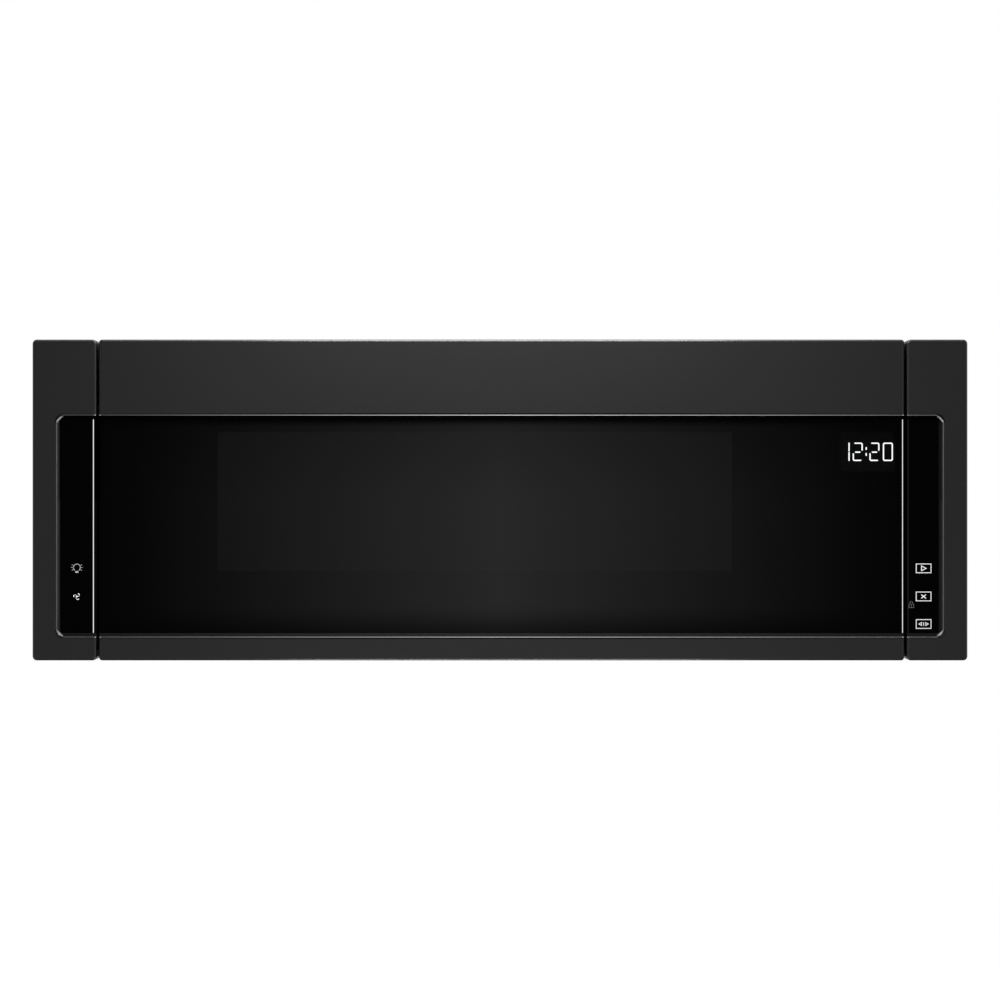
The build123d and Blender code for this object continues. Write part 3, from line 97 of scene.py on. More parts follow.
class Tree:
    # any node comes from node(): its type, its settings, then what its sockets hold
    def __init__(self, owner):
        owner.use_nodes = True
        self.owner = owner
        self.nodes = owner.node_tree.nodes
        self.links = owner.node_tree.links

    def node(self, kind, settings=None, sockets=None, output=0):
        made = self.nodes.new("ShaderNode" + kind)
        for name, value in (settings or {}).items():
            setattr(made, name, value)
        for name, value in (sockets or {}).items():
            self.feed(made.inputs[name], value)
        return Wire(self, made.outputs[output])

    def feed(self, socket, value):
        if isinstance(value, Wire):
            self.links.new(value.socket, socket)
        elif socket.type == "RGBA":
            socket.default_value = (*value, 1)
        else:
            socket.default_value = value

    def maths(self, operation, *values):
        return self.node("Math", {"operation": operation}, dict(enumerate(values)))

    def least(self, first, second):
        return self.maths("MINIMUM", first, second)

    def most(self, first, second):
        return self.maths("MAXIMUM", first, second)

    # the length of a vector with these two sides
    def length(self, first, second):
        return self.maths("SQRT", first * first + second * second)

    # 0 below low, 1 above high, smooth between
    def rise(self, value, low, high):
        settings = {"interpolation_type": "SMOOTHSTEP"}
        return self.node("MapRange", settings, {0: value, 1: low, 2: high})

    # 1 where the value is between low and high
    def within(self, value, low, high):
        return (value > low) * (value < high)

    def blend(self, first, second, factor):
        return self.node("Mix", {"data_type": "RGBA"}, {0: factor, 6: first, 7: second}, 2)

    def noise(self, place, scale, detail):
        return self.node("TexNoise", None, {"Vector": place, "Scale": scale, "Detail": detail})

    # how far a point lies from the middle of its cell
    def cells(self, place, scale):
        return self.node("TexVoronoi", None, {"Vector": place, "Scale": scale})

    # a grey for each cell, from its random colour
    def cellTone(self, place, scale):
        colour = self.node("TexVoronoi", None, {"Vector": place, "Scale": scale}, 1)
        return self.node("RGBToBW", None, {0: colour})

    # rises and falls between 0 and top, over and over
    def zigzag(self, value, top):
        return self.maths("PINGPONG", value, top)

    def stretched(self, place, size):
        return self.node("Mapping", None, {"Vector": place, "Scale": size})

    def objectPlace(self):
        return self.node("TexCoord", None, None, 3)

    # the x, y and z of a vector
    def split(self, vector):
        outputs = self.node("SeparateXYZ", None, {0: vector}).socket.node.outputs
        return [Wire(self, output) for output in outputs]

    # 1 for rays from the camera, for mirrored rays and for rays that went through glass
    def rays(self):
        outputs = self.node("LightPath").socket.node.outputs
        kinds = ("Is Camera Ray", "Is Glossy Ray", "Is Transmission Ray")
        return [Wire(self, outputs[kind]) for kind in kinds]


class Finish(Tree):
    # one material: constants go on the shader's own sockets, and paint() feeds what varies
    def __init__(self, name, **constants):
        super().__init__(bpy.data.materials.new(name))
        self.shader = self.nodes["Principled BSDF"]
        self.place = self.objectPlace()
        self.x, self.y, self.z = self.split(self.place)
        self.lastNormal = None
        for constant, value in constants.items():
            self.paint(constant, value)

    def paint(self, name, value):
        self.feed(self.shader.inputs[name.replace("_", " ")], value)

    # raises the surface by height times distance, on top of earlier bumps
    def bump(self, height, distance):
        sockets = {"Height": height, "Distance": distance}
        if self.lastNormal:
            sockets["Normal"] = self.lastNormal
        self.lastNormal = self.node("Bump", None, sockets)
        self.paint("Normal", self.lastNormal)


# finishes of the CAD pieces. A noise is given as its scale and detail, a share is how much of
# it goes into the colour, and a range is the most that it adds to the roughness

# paints and plastics: a fine grain over a wide cloud
grained = {
    "case_paint": {
        "dark": (0.018, 0.0182, 0.0188),
        "pale": (0.026, 0.0262, 0.027),
        "grain": (900, 3),
        "cloud": (9, 3),
        "grainShare": 0.0,
        "cloudShare": 0.5,
        "roughness": 0.5,
        "roughnessRange": 0.14,
        "depth": 0.05 * mm,
    },
    "black_plastic": {
        "dark": (0.01, 0.01, 0.011),
        "pale": (0.018, 0.018, 0.019),
        "grain": (1400, 3),
        "cloud": (18, 3),
        "grainShare": 0.3,
        "cloudShare": 0.7,
        "roughness": 0.42,
        "roughnessRange": 0.12,
        "depth": 0.04 * mm,
    },
    "white_plastic": {
        "dark": (0.66, 0.65, 0.6),
        "pale": (0.74, 0.73, 0.69),
        "grain": (900, 3),
        "cloud": (18, 3),
        "grainShare": 0.3,
        "cloudShare": 0.7,
        "roughness": 0.36,
        "roughnessRange": 0.12,
        "depth": 0.02 * mm,
    },
    "rubber": {
        "dark": (0.012, 0.012, 0.012),
        "pale": (0.022, 0.022, 0.022),
        "grain": (700, 3),
        "cloud": (18, 3),
        "grainShare": 0.3,
        "cloudShare": 0.7,
        "roughness": 0.66,
        "roughnessRange": 0.12,
        "depth": 0.06 * mm,
    },
    "dark_steel": {
        "dark": (0.012, 0.012, 0.0125),
        "pale": (0.022, 0.022, 0.023),
        "grain": (1100, 3),
        "cloud": (20, 3),
        "grainShare": 0.0,
        "cloudShare": 1.0,
        "roughness": 0.36,
        "roughnessRange": 0.12,
        "depth": 0.04 * mm,
    },
}

def makeGrained(name):
    values = grained[name]
    finish = Finish(name)
    grain = finish.noise(finish.place, *values["grain"])
    cloud = finish.noise(finish.place, *values["cloud"])
    share = cloud * values["cloudShare"] + grain * values["grainShare"]
    finish.paint("Base_Color", finish.blend(values["dark"], values["pale"], share))
    finish.paint("Roughness", values["roughness"] + grain * values["roughnessRange"])
    finish.bump(grain, values["depth"])
    return finish


zincSteel = {
    "dark": (0.42, 0.43, 0.45),
    "pale": (0.66, 0.67, 0.68),
    "spangle": 95,
    "smear": (40, 4),
    "spangleShare": 0.6,
    "smearShare": 0.4,
    "roughness": 0.3,
    "spangleRange": 0.12,
    "smearRange": 0.08,
    "grain": (500, 3),
    "depth": 0.02 * mm,
}

def makeZincSteel():
    finish = Finish("zinc_steel", Metallic=1.0)
    spangle = finish.cellTone(finish.place, zincSteel["spangle"])
    smear = finish.noise(finish.place, *zincSteel["smear"])
    share = spangle * zincSteel["spangleShare"] + smear * zincSteel["smearShare"]
    finish.paint("Base_Color", finish.blend(zincSteel["dark"], zincSteel["pale"], share))
    uneven = spangle * zincSteel["spangleRange"] + smear * zincSteel["smearRange"]
    finish.paint("Roughness", zincSteel["roughness"] + uneven)
    finish.bump(finish.noise(finish.place, *zincSteel["grain"]), zincSteel["depth"])
    return finish


cavityEnamel = {
    "colour": (0.56, 0.56, 0.54),
    "speck": (0.3, 0.3, 0.29),
    "specks": (700, 1),
    "speckRange": (0.62, 0.7),
    "speckShare": 0.5,
    "cloud": (30, 2),
    "roughness": 0.2,
    "roughnessRange": 0.1,
    "waves": (260, 2),
    "depth": 0.06 * mm,
}

def makeCavityEnamel():
    finish = Finish("cavity_enamel")
    specks = finish.noise(finish.place, *cavityEnamel["specks"])
    share = finish.rise(specks, *cavityEnamel["speckRange"]) * cavityEnamel["speckShare"]
    finish.paint("Base_Color", finish.blend(cavityEnamel["colour"], cavityEnamel["speck"], share))
    cloud = finish.noise(finish.place, *cavityEnamel["cloud"])
    finish.paint("Roughness", cavityEnamel["roughness"] + cloud * cavityEnamel["roughnessRange"])
    finish.bump(finish.noise(finish.place, *cavityEnamel["waves"]), cavityEnamel["depth"])
    return finish


fasciaMetal = {
    "dark": (0.0165, 0.0166, 0.0168),
    "pale": (0.0205, 0.0206, 0.0208),
    "lineStretch": (8, 900, 900),
    "lines": (1, 2),
    "cloud": (14, 3),
    "grain": (1500, 2),
    "lineShare": 0.6,
    "cloudShare": 0.4,
    "roughness": 0.26,
    "roughnessRange": 0.04,
    "depth": 0.008 * mm,
}

# the pocket that the glass sits in, as the front shows it. Pairs in mm are distances outside its
# outline, negative where they lie on the slope down to the glass
pocket = {
    "halfWidth": 360.2 * mm,
    "top": 68.6 * mm,
    "bottom": -111.0 * mm,
    "corner": 5.5 * mm,
    "slope": 3.0 * mm,
    "lip": (0.02 * mm, 0.55 * mm),
    "lipShine": (0.94, 0.94, 0.95),
    "lipPolish": 0.92,
    # at the sides the lip is a pale matt line: a painted highlight
    "sideLip": (-0.65 * mm, 0.05 * mm),
    "sideLipHighlight": (0.082, 0.082, 0.083),
    # a painted line of shade just outside the outline, over and under the glass, fading towards the
    # ends
    "groove": (1.1 * mm, 1.8 * mm),
    "grooveFadesFrom": 100 * mm,
    "grooveFadesTo": 330 * mm,
    "grooveLoss": 0.8,
    # painted highlights: a pale arc in each corner of the pocket, dimmer in the lower two
    "arc": -0.65 * mm,
    "arcDip": 0.7 * mm,
    "arcHalf": 0.9 * mm,
    "arcEnds": 0.4,
    "lowArcHighlightShare": 0.47,
    "arcHighlight": (0.85, 0.85, 0.86),
    # painted shade just outside the outline at the corners
    "cornerTipShade": (0.0, 1.0 * mm),
    "cornerTipShadeShare": 0.7,
    # one slope finish in shaded and lit copies: nearly black at the top as painted shade, lighter
    # at the bottom and lightest at the sides as painted light, brightening outwards
    "upperSlopeShade": (0.001, 0.001, 0.001),
    "lowerSlopeLit": (0.0125, 0.0125, 0.0127),
    "sideSlopeLit": (0.06, 0.06, 0.0605),
    "sideSlopeLightens": (-3.4 * mm, 0.3 * mm),
    "mattRoughness": 0.25,
    "slopeRoughness": 0.4,
    "tiny": 1e-9,  # square metres, so that nothing is divided by 0
}

# how far a point lies outside the pocket's rounded outline: the length of what is past the
# corner's middle in x and z, less the corner's radius. Then 1 where it is in a corner. Last, 1
# halfway round the corner and 0 at its ends: twice x times z, over the sum of their squares
def pocketDistance(finish):
    corner = pocket["corner"]
    middle = (pocket["top"] + pocket["bottom"]) / 2
    half = (pocket["top"] - pocket["bottom"]) / 2
    pastX = abs(finish.x) - (pocket["halfWidth"] - corner)
    pastZ = abs(finish.z - middle) - (half - corner)
    cornerX, cornerZ = finish.most(pastX, 0.0), finish.most(pastZ, 0.0)
    reach = finish.length(cornerX, cornerZ)
    inside = finish.least(finish.most(pastX, pastZ), 0.0)
    halfway = cornerX * cornerZ * 2 / (reach * reach + pocket["tiny"])
    return reach + inside - corner, (pastX > 0) * (pastZ > 0), halfway


def makeFasciaMetal():
    finish = Finish("fascia_metal")
    grain = finish.noise(finish.place, *fasciaMetal["grain"])
    streaks = finish.stretched(finish.place, fasciaMetal["lineStretch"])
    lines = finish.noise(streaks, *fasciaMetal["lines"])
    cloud = finish.noise(finish.place, *fasciaMetal["cloud"])
    share = lines * fasciaMetal["lineShare"] + cloud * fasciaMetal["cloudShare"]
    tint = finish.blend(fasciaMetal["dark"], fasciaMetal["pale"], share)

    # where the lips are: a bright mirror line at the top and bottom, which mirrors the lamps as the
    # rim's highlight, and a pale matt line at the sides, which is a painted highlight
    out, inCorner, halfway = pocketDistance(finish)
    beside = abs(finish.x) > pocket["halfWidth"] - pocket["slope"]
    lip = finish.within(out, *pocket["lip"]) * (1 - inCorner) * (1 - beside)
    sideLip = finish.within(out, *pocket["sideLip"]) * (1 - inCorner) * beside

    # a painted highlight: a pale arc cuts each corner, strongest and furthest inside the outline
    # halfway round, and dimmer in the lower corners
    astray = abs(out - pocket["arc"] + halfway * pocket["arcDip"])
    arcStrength = halfway * (1 - pocket["arcEnds"]) + pocket["arcEnds"]
    cornerHighlight = finish.most(1 - astray / pocket["arcHalf"], 0.0) * inCorner * arcStrength
    cornerHighlight = cornerHighlight * ((finish.z > 0) * (1 - pocket["lowArcHighlightShare"]) + pocket["lowArcHighlightShare"])

    # dark places: the slopes down to the glass, coloured as painted shade and light; a painted line
    # of shade over and under the glass, fading towards the ends; and painted shade at the corners'
    # tips
    faded = finish.rise(abs(finish.x), pocket["grooveFadesFrom"], pocket["grooveFadesTo"])
    overOrUnder = (abs(finish.x) < pocket["halfWidth"]) * (1 - faded * pocket["grooveLoss"])
    groove = finish.within(out, *pocket["groove"]) * overOrUnder
    cornerTipShade = finish.within(out, *pocket["cornerTipShade"]) * inCorner * pocket["cornerTipShadeShare"]
    dark = finish.most(out < 0, finish.most(groove, cornerTipShade))
    # painted light on the side slopes, brighter towards the outline, and painted shade on the upper
    # slope
    sideward = beside * (1 - inCorner) * finish.rise(out, *pocket["sideSlopeLightens"])
    slope = finish.blend(pocket["lowerSlopeLit"], pocket["upperSlopeShade"], finish.z > 0)
    slope = finish.blend(slope, pocket["sideSlopeLit"], sideward)

    tint = finish.blend(tint, slope, dark)
    tint = finish.blend(tint, pocket["sideLipHighlight"], sideLip)
    tint = finish.blend(tint, pocket["arcHighlight"], cornerHighlight)
    tint = finish.blend(tint, pocket["lipShine"], lip)
    finish.paint("Base_Color", tint)
    matt = finish.most((astray < pocket["arcHalf"]) * inCorner, sideLip)
    finish.paint("Metallic", finish.most(dark * (1 - matt), lip))
    rough = fasciaMetal["roughness"] + (grain + lines) * fasciaMetal["roughnessRange"]
    mattSlope = dark * (1 - beside) * pocket["slopeRoughness"]
    rougher = finish.most(matt * pocket["mattRoughness"], mattSlope)
    finish.paint("Roughness", rough * (1 - lip * pocket["lipPolish"]) + rougher)
    finish.bump(grain * (1 - lip), fasciaMetal["depth"])
    return finish


blackGlass = {
    "colour": (0.0011, 0.0011, 0.0012),
    "window": {
        "x": (-229.3 * mm, 188.3 * mm),
        "z": (-57.8 * mm, 55.2 * mm),
        # the window is clearer glass, and its lighter tint is painted light, standing in for the
        # lit screen behind it
        "tint": (0.0058, 0.0058, 0.0059),
        "alpha": 0.86,
    },
    "display": {
        "x": (275.3 * mm, 321.3 * mm),
        "z": (22.9 * mm, 55.9 * mm),
        "tint": (0.0016, 0.0016, 0.0017),
        "alpha": 0.5,
    },
    "cloud": (20, 2),
    "roughness": 0.004,
    "roughnessRange": 0.01,
    "waves": (5, 1),
    "waveDepth": 0.02 * mm,
    # a painted highlight: the colour and width of the mirror strip on each glass's right edge
    "bright": (0.97, 0.97, 0.98),
    "glintEdge": 0.62 * mm,
    "edgeTilt": 0.25,
}

# the right edge of a glass is a bright, tilted mirror strip: a painted highlight, which catches the
# light from the right. The left edge has none
def makeBlackGlass(name, node, clearAreas=()):
    finish = Finish(name)
    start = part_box(node)[1][0] - blackGlass["glintEdge"]
    edge = finish.x > start
    glassColour = blackGlass["colour"]
    alpha = 1.0
    # clearer areas; the window's lighter tint is painted light
    for area in clearAreas:
        inside = finish.within(finish.x, *area["x"]) * finish.within(finish.z, *area["z"])
        glassColour = finish.blend(glassColour, area["tint"], inside)
        alpha = alpha - inside * (1 - area["alpha"])
    finish.paint("Alpha", alpha)
    finish.paint("Base_Color", finish.blend(glassColour, blackGlass["bright"], edge))
    finish.paint("Metallic", edge)
    cloud = finish.noise(finish.place, *blackGlass["cloud"])
    finish.paint("Roughness", blackGlass["roughness"] + cloud * blackGlass["roughnessRange"])
    waves = finish.noise(finish.place, *blackGlass["waves"])
    finish.bump(waves * (1 - edge), blackGlass["waveDepth"])
    finish.bump(finish.most(finish.x - start, 0.0), blackGlass["edgeTilt"])
    return finish


clearGlass = {
    "colour": (0.93, 0.97, 0.95),
    "tinted": (0.86, 0.94, 0.9),
    "cloud": (12, 2),
    "haze": (60, 3),
    "roughness": 0.02,
    "roughnessRange": 0.03,
    "waves": (45, 2),
    "depth": 0.05 * mm,
}

def makeClearGlass():
    finish = Finish("clear_glass", Transmission_Weight=1.0, IOR=1.5)
    cloud = finish.noise(finish.place, *clearGlass["cloud"])
    finish.paint("Base_Color", finish.blend(clearGlass["colour"], clearGlass["tinted"], cloud))
    haze = finish.noise(finish.place, *clearGlass["haze"])
    finish.paint("Roughness", clearGlass["roughness"] + haze * clearGlass["roughnessRange"])
    finish.bump(finish.noise(finish.place, *clearGlass["waves"]), clearGlass["depth"])
    return finish


mica = {
    "dark": (0.36, 0.31, 0.23),
    "pale": (0.62, 0.57, 0.48),
    "flakes": 130,
    "flakeStretch": (1, 1, 1.6),
    "veins": (90, 5),
    "flakeShare": 0.5,
    "veinShare": 0.5,
    "roughness": 0.25,
    "roughnessRange": 0.3,
    "depth": 0.08 * mm,
}

def makeMica():
    finish = Finish("mica")
    flakes = finish.cellTone(finish.stretched(finish.place, mica["flakeStretch"]), mica["flakes"])
    veins = finish.noise(finish.place, *mica["veins"])
    share = flakes * mica["flakeShare"] + veins * mica["veinShare"]
    finish.paint("Base_Color", finish.blend(mica["dark"], mica["pale"], share))
    finish.paint("Roughness", mica["roughness"] + flakes * mica["roughnessRange"])
    finish.bump(veins, mica["depth"])
    return finish


circuitBoard = {
    "green": (0.008, 0.07, 0.025),
    "copper": (0.02, 0.15, 0.06),
    "parts": (0.02, 0.024, 0.03),
    "tracks": 130,
    "trackPitch": 0.09,
    "trackRange": (0.05, 0.06),
    "roughness": 0.35,
    "depth": 0.03 * mm,
    "touchBoardThick": 1.7 * mm,
    "controlPartsDeep": 15.9 * mm,
}

# tracks run up and across the board in steps, and the parts on it are dark: they lie past start
# on the given axis, towards side
def makeCircuitBoard(name, axis, start, side):
    finish = Finish(name, Roughness=circuitBoard["roughness"])
    sockets = {"Vector": finish.place, "Scale": circuitBoard["tracks"]}
    steps = finish.node("TexVoronoi", {"distance": "MANHATTAN"}, sockets)
    bands = finish.zigzag(steps, circuitBoard["trackPitch"])
    copper = finish.rise(bands, *circuitBoard["trackRange"])
    board = finish.blend(circuitBoard["green"], circuitBoard["copper"], copper)
    past = (getattr(finish, axis) - start) * side > 0
    finish.paint("Base_Color", finish.blend(board, circuitBoard["parts"], past))
    finish.bump(copper, circuitBoard["depth"])
    return finish


windowScreen = {
    "pitch": 1.8 * mm,
    "hole": 0.62 * mm,
    "dark": (0.4, 0.4, 0.4),
    "pale": (0.48, 0.48, 0.48),
    "cloud": (30, 2),
    "roughness": 0.5,
}

# round holes in staggered rows: the distance to the nearest hole's middle, in two square-set
# grids half a cell apart
def makeWindowScreen():
    finish = Finish("window_screen", Roughness=windowScreen["roughness"])
    pitch = windowScreen["pitch"]
    rowPitch = pitch * 3 ** 0.5
    distances = []
    for shift in (0.0, 0.5):
        across = finish.zigzag(finish.x / pitch + shift, 0.5) * pitch
        up = finish.zigzag(finish.z / rowPitch + shift, 0.5) * rowPitch
        distances.append(finish.length(across, up))
    finish.paint("Alpha", finish.least(*distances) > windowScreen["hole"])
    cloud = finish.noise(finish.place, *windowScreen["cloud"])
    finish.paint("Base_Color", finish.blend(windowScreen["dark"], windowScreen["pale"], cloud))
    return finish


aluminium = {
    "dark": (0.62, 0.63, 0.64),
    "pale": (0.8, 0.81, 0.82),
    "lineStretch": (60, 1200, 1200),
    "lines": (1, 3),
    "cloud": (25, 4),
    "roughness": 0.28,
    "roughnessRange": 0.16,
    "depth": 0.015 * mm,
}

def makeAluminium():
    finish = Finish("aluminium", Metallic=1.0)
    streaks = finish.stretched(finish.place, aluminium["lineStretch"])
    lines = finish.noise(streaks, *aluminium["lines"])
    cloud = finish.noise(finish.place, *aluminium["cloud"])
    finish.paint("Base_Color", finish.blend(aluminium["dark"], aluminium["pale"], cloud))
    finish.paint("Roughness", aluminium["roughness"] + lines * aluminium["roughnessRange"])
    finish.bump(lines, aluminium["depth"])
    return finish


charcoal = {
    "dark": (0.006, 0.006, 0.006),
    "pale": (0.035, 0.034, 0.033),
    "grains": 420,
    "roughness": 0.7,
    "roughnessRange": 0.25,
    "depth": 0.8 * mm,
}

def makeCharcoal():
    finish = Finish("charcoal")
    tone = finish.cellTone(finish.place, charcoal["grains"])
    finish.paint("Base_Color", finish.blend(charcoal["dark"], charcoal["pale"], tone))
    finish.paint("Roughness", charcoal["roughness"] + tone * charcoal["roughnessRange"])
    finish.bump(1 - finish.cells(finish.place, charcoal["grains"]), charcoal["depth"])
    return finish


motorSteel = {
    "dark": (0.3, 0.3, 0.31),
    "pale": (0.52, 0.52, 0.53),
    "sheet": 1.0 * mm,
    "cloud": (45, 4),
    "roughness": 0.3,
    "cloudRange": 0.15,
    "sheetRange": 0.1,
    "grain": (600, 2),
    "depth": 0.02 * mm,
}

# thin sheets, whose edges are shinier and duller in turn
def makeMotorSteel():
    finish = Finish("motor_steel", Metallic=1.0)
    sheets = finish.zigzag((finish.x + finish.y + finish.z) / motorSteel["sheet"], 0.5)
    cloud = finish.noise(finish.place, *motorSteel["cloud"])
    finish.paint("Base_Color", finish.blend(motorSteel["dark"], motorSteel["pale"], cloud))
    uneven = cloud * motorSteel["cloudRange"] + sheets * motorSteel["sheetRange"]
    finish.paint("Roughness", motorSteel["roughness"] + uneven)
    finish.bump(finish.noise(finish.place, *motorSteel["grain"]), motorSteel["depth"])
    return finish


transformer = {
    "dark": (0.05, 0.05, 0.052),
    "pale": (0.12, 0.118, 0.115),
    "sheet": 0.5 * mm,
    "copper": (0.42, 0.16, 0.06),
    "coilFromMiddle": 24.5 * mm,
    "foot": 6 * mm,
    "turn": 0.9 * mm,
    "cloud": (60, 4),
    "steelMetallic": 0.5,
    "roughness": 0.35,
    "roughnessRange": 0.15,
    "depth": 0.12 * mm,
}

# the coil stands out at the front and back, above the foot, and the rest is stacked sheets
def makeTransformer():
    finish = Finish("transformer_steel")
    low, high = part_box("transformer")
    fromMiddle = abs(finish.y - (low[1] + high[1]) / 2)
    coil = (fromMiddle > transformer["coilFromMiddle"]) * (finish.z > low[2] + transformer["foot"])
    turns = finish.zigzag(finish.z / transformer["turn"], 0.5) * 2
    sheets = finish.zigzag(finish.y / transformer["sheet"], 0.5) * 2
    cloud = finish.noise(finish.place, *transformer["cloud"])
    steel = finish.blend(transformer["dark"], transformer["pale"], cloud)
    finish.paint("Base_Color", finish.blend(steel, transformer["copper"], coil))
    steelMetallic = transformer["steelMetallic"]
    finish.paint("Metallic", steelMetallic + coil * (1 - steelMetallic))
    finish.paint("Roughness", transformer["roughness"] + cloud * transformer["roughnessRange"])
    finish.bump(turns * coil + sheets * (1 - coil), transformer["depth"])
    return finish


def paintNodes():
    bySlot = {name: makeGrained(name) for name in grained}
    bySlot["zinc_steel"] = makeZincSteel()
    bySlot["cavity_enamel"] = makeCavityEnamel()
    bySlot["fascia_metal"] = makeFasciaMetal()
    bySlot["clear_glass"] = makeClearGlass()
    bySlot["mica"] = makeMica()
    bySlot["aluminium"] = makeAluminium()
    bySlot["charcoal"] = makeCharcoal()
    bySlot["motor_steel"] = makeMotorSteel()

    clearAreas = (blackGlass["window"], blackGlass["display"])
    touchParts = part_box("door_touch_board")[0][1] + circuitBoard["touchBoardThick"]
    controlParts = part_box("control_board")[0][0] + circuitBoard["controlPartsDeep"]
    byNode = {
        "left_column_glass": makeBlackGlass("left_glass", "left_column_glass"),
        "right_column_glass": makeBlackGlass("right_glass", "right_column_glass"),
        "door_glass": makeBlackGlass("door_glass", "door_glass", clearAreas),
        "window_screen": makeWindowScreen(),
        "transformer": makeTransformer(),
        "touch_boards": makeCircuitBoard("touch_board", "y", touchParts, 1),
        "door_touch_board": makeCircuitBoard("door_board", "y", touchParts, 1),
        "control_board": makeCircuitBoard("control_board", "x", controlParts, -1),
    }
    for piece in frame["record"]["subparts"]:
        name = piece["node"]
        finish = byNode.get(name) or bySlot[piece["material_slot"]]
        nodes[name].data.materials.clear()
        nodes[name].data.materials.append(finish.owner)
    return bySlot


finishes = paintNodes()
print("CAD nodes painted")


# surfaces worked out as arrays

# a section carried along lines: a point is the line's point, plus the section's first number
# times the spread times the way across, plus its second number times the way outward. The way
# across is outward crossed with the tangent, and longer at corners, so that the width stays
def sweep(lines, outward, section, spread=1.0, closed=False):
    lines = np.asarray(lines, float)
    steps = np.roll(lines, -1, axis=1) - lines
    ahead = steps / np.linalg.norm(steps, axis=2, keepdims=True)
    if not closed:
        ahead[:, -1] = ahead[:, -2]
    behind = np.roll(ahead, 1, axis=1)
    if not closed:
        behind[:, 0] = ahead[:, 0]
    tangent = ahead + behind
    tangent /= np.linalg.norm(tangent, axis=2, keepdims=True)
    widen = 1 / np.sum(tangent * ahead, axis=2, keepdims=True)
    across = np.cross(outward, tangent) * widen * np.asarray(spread)[..., None]
    section = np.asarray(section, float)
    points = (
        lines[:, :, None]
        + across[:, :, None] * section[None, None, :, :1]
        + np.asarray(outward, float) * section[None, None, :, 1:]
    )
    count, stations, sides = points.shape[:3]
    index = np.arange(count * stations * sides).reshape(count, stations, sides)
    turned = np.roll(index, -1, axis=2)
    last = stations if closed else stations - 1
    following = np.roll(index, -1, axis=1)
    followingTurned = np.roll(turned, -1, axis=1)
    walls = np.stack((index, turned, followingTurned, following), axis=3)[:, :last]
    faces = walls.reshape(-1, 4).tolist()
    if not closed:
        faces += index[:, 0, ::-1].tolist() + index[:, -1].tolist()
    return points.reshape(-1, 3), faces


# joins several (points, faces) pairs in one mesh
def joined(shapes):
    points, faces, start = [], [], 0
    for shapePoints, shapeFaces in shapes:
        points.append(shapePoints)
        faces += [[corner + start for corner in face] for face in shapeFaces]
        start += len(shapePoints)
    return np.concatenate(points), faces


def makePiece(name, shapes, finish, body):
    points, faces = joined(shapes)
    mesh = bpy.data.meshes.new(name)
    mesh.from_pydata(points.tolist(), [], faces)
    mesh.materials.append(finish.owner)
    mesh.update()
    piece = bpy.data.objects.new(name, mesh)
    bpy.context.scene.collection.objects.link(piece)
    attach(piece, body)


# a stroke on a face that looks to the front, with round ends: they stand out by half the width
# times the cosine of a turn, and there the half width is times its sine. The first turn isn't
# 0, because an end of no width would have a face of no size
endTurn = {"first": 0.12, "steps": 6}

def stroke(path, width, face, rise, closed=False):
    path = np.asarray(path, float)
    half = width / 2
    section = [(1, 0), (1, rise), (-1, rise), (-1, 0)]
    spread = np.full(len(path), half)
    if not closed:
        turn = np.linspace(endTurn["first"], 0.5 * np.pi, endTurn["steps"])
        reach = half * np.cos(turn)[:, None]
        narrow = half * np.sin(turn)
        startWay = (path[1] - path[0]) / np.linalg.norm(path[1] - path[0])
        endWay = (path[-1] - path[-2]) / np.linalg.norm(path[-1] - path[-2])
        startCap = path[0] - startWay * reach
        endCap = (path[-1] + endWay * reach)[::-1]
        path = np.concatenate((startCap, path[1:-1], endCap))
        spread = np.concatenate((narrow, spread[1:-1], narrow[::-1]))
    line = np.stack((path[:, 0], np.full(len(path), face), path[:, 1]), axis=1)
    return sweep(line[None], (0, -1, 0), section, spread[None], closed)


# an arc from start to end, in degrees: across, the radius times the cosine, and up, the radius
# times the sine times squash
def arc(middle, radius, start, end, steps, squash=1.0):
    turn = np.radians(np.linspace(start, end, steps))
    x = middle[0] + radius * np.cos(turn)
    z = middle[1] + radius * squash * np.sin(turn)
    return np.stack((x, z), axis=1)


# the clock: plain seven-bar digits that glow behind the glass
clock = {
    "time": "12:20",
    "left": 276.2 * mm,
    "bottom": 32.2 * mm,
    "width": 7.15 * mm,
    "height": 13.95 * mm,
    "pitch": 10.9 * mm,
    "colonGap": 2.7 * mm,
    "colonShift": 3.15 * mm,
    "bar": 1.02 * mm,
    "depth": 0.04 * mm,
    "glow": 2.05,
    "colour": (0.93, 0.95, 1.0),
    "white": (1, 1, 1),
    "unlit": (0.8, 0.8, 0.8),
    "unlitBlue": (0.7, 0.7, 0.72),
    "spots": (400, 1),
    "roughness": 0.4,
}

# strokes of each sign in parts of the digit's width and height
digitStrokes = {
    "0": [[(0, 0.05), (0, 0.95), (0.1, 1), (0.9, 1), (1, 0.95), (1, 0.05), (0.9, 0), (0.1, 0)]],
    "1": [[(1.04, 0), (1.04, 0.45)], [(1.04, 0.55), (1.04, 1)]],
    "2": [
        [(0.2, 1), (0.9, 1), (1, 0.95), (1, 0.6)],
        [(0.26, 0.48), (0.74, 0.48)],
        [(0, 0.38), (0, 0.05), (0.1, 0), (0.84, 0)],
    ],
    ":": [[(0, 0.64), (0, 0.74)], [(0, 0.3), (0, 0.4)]],
}

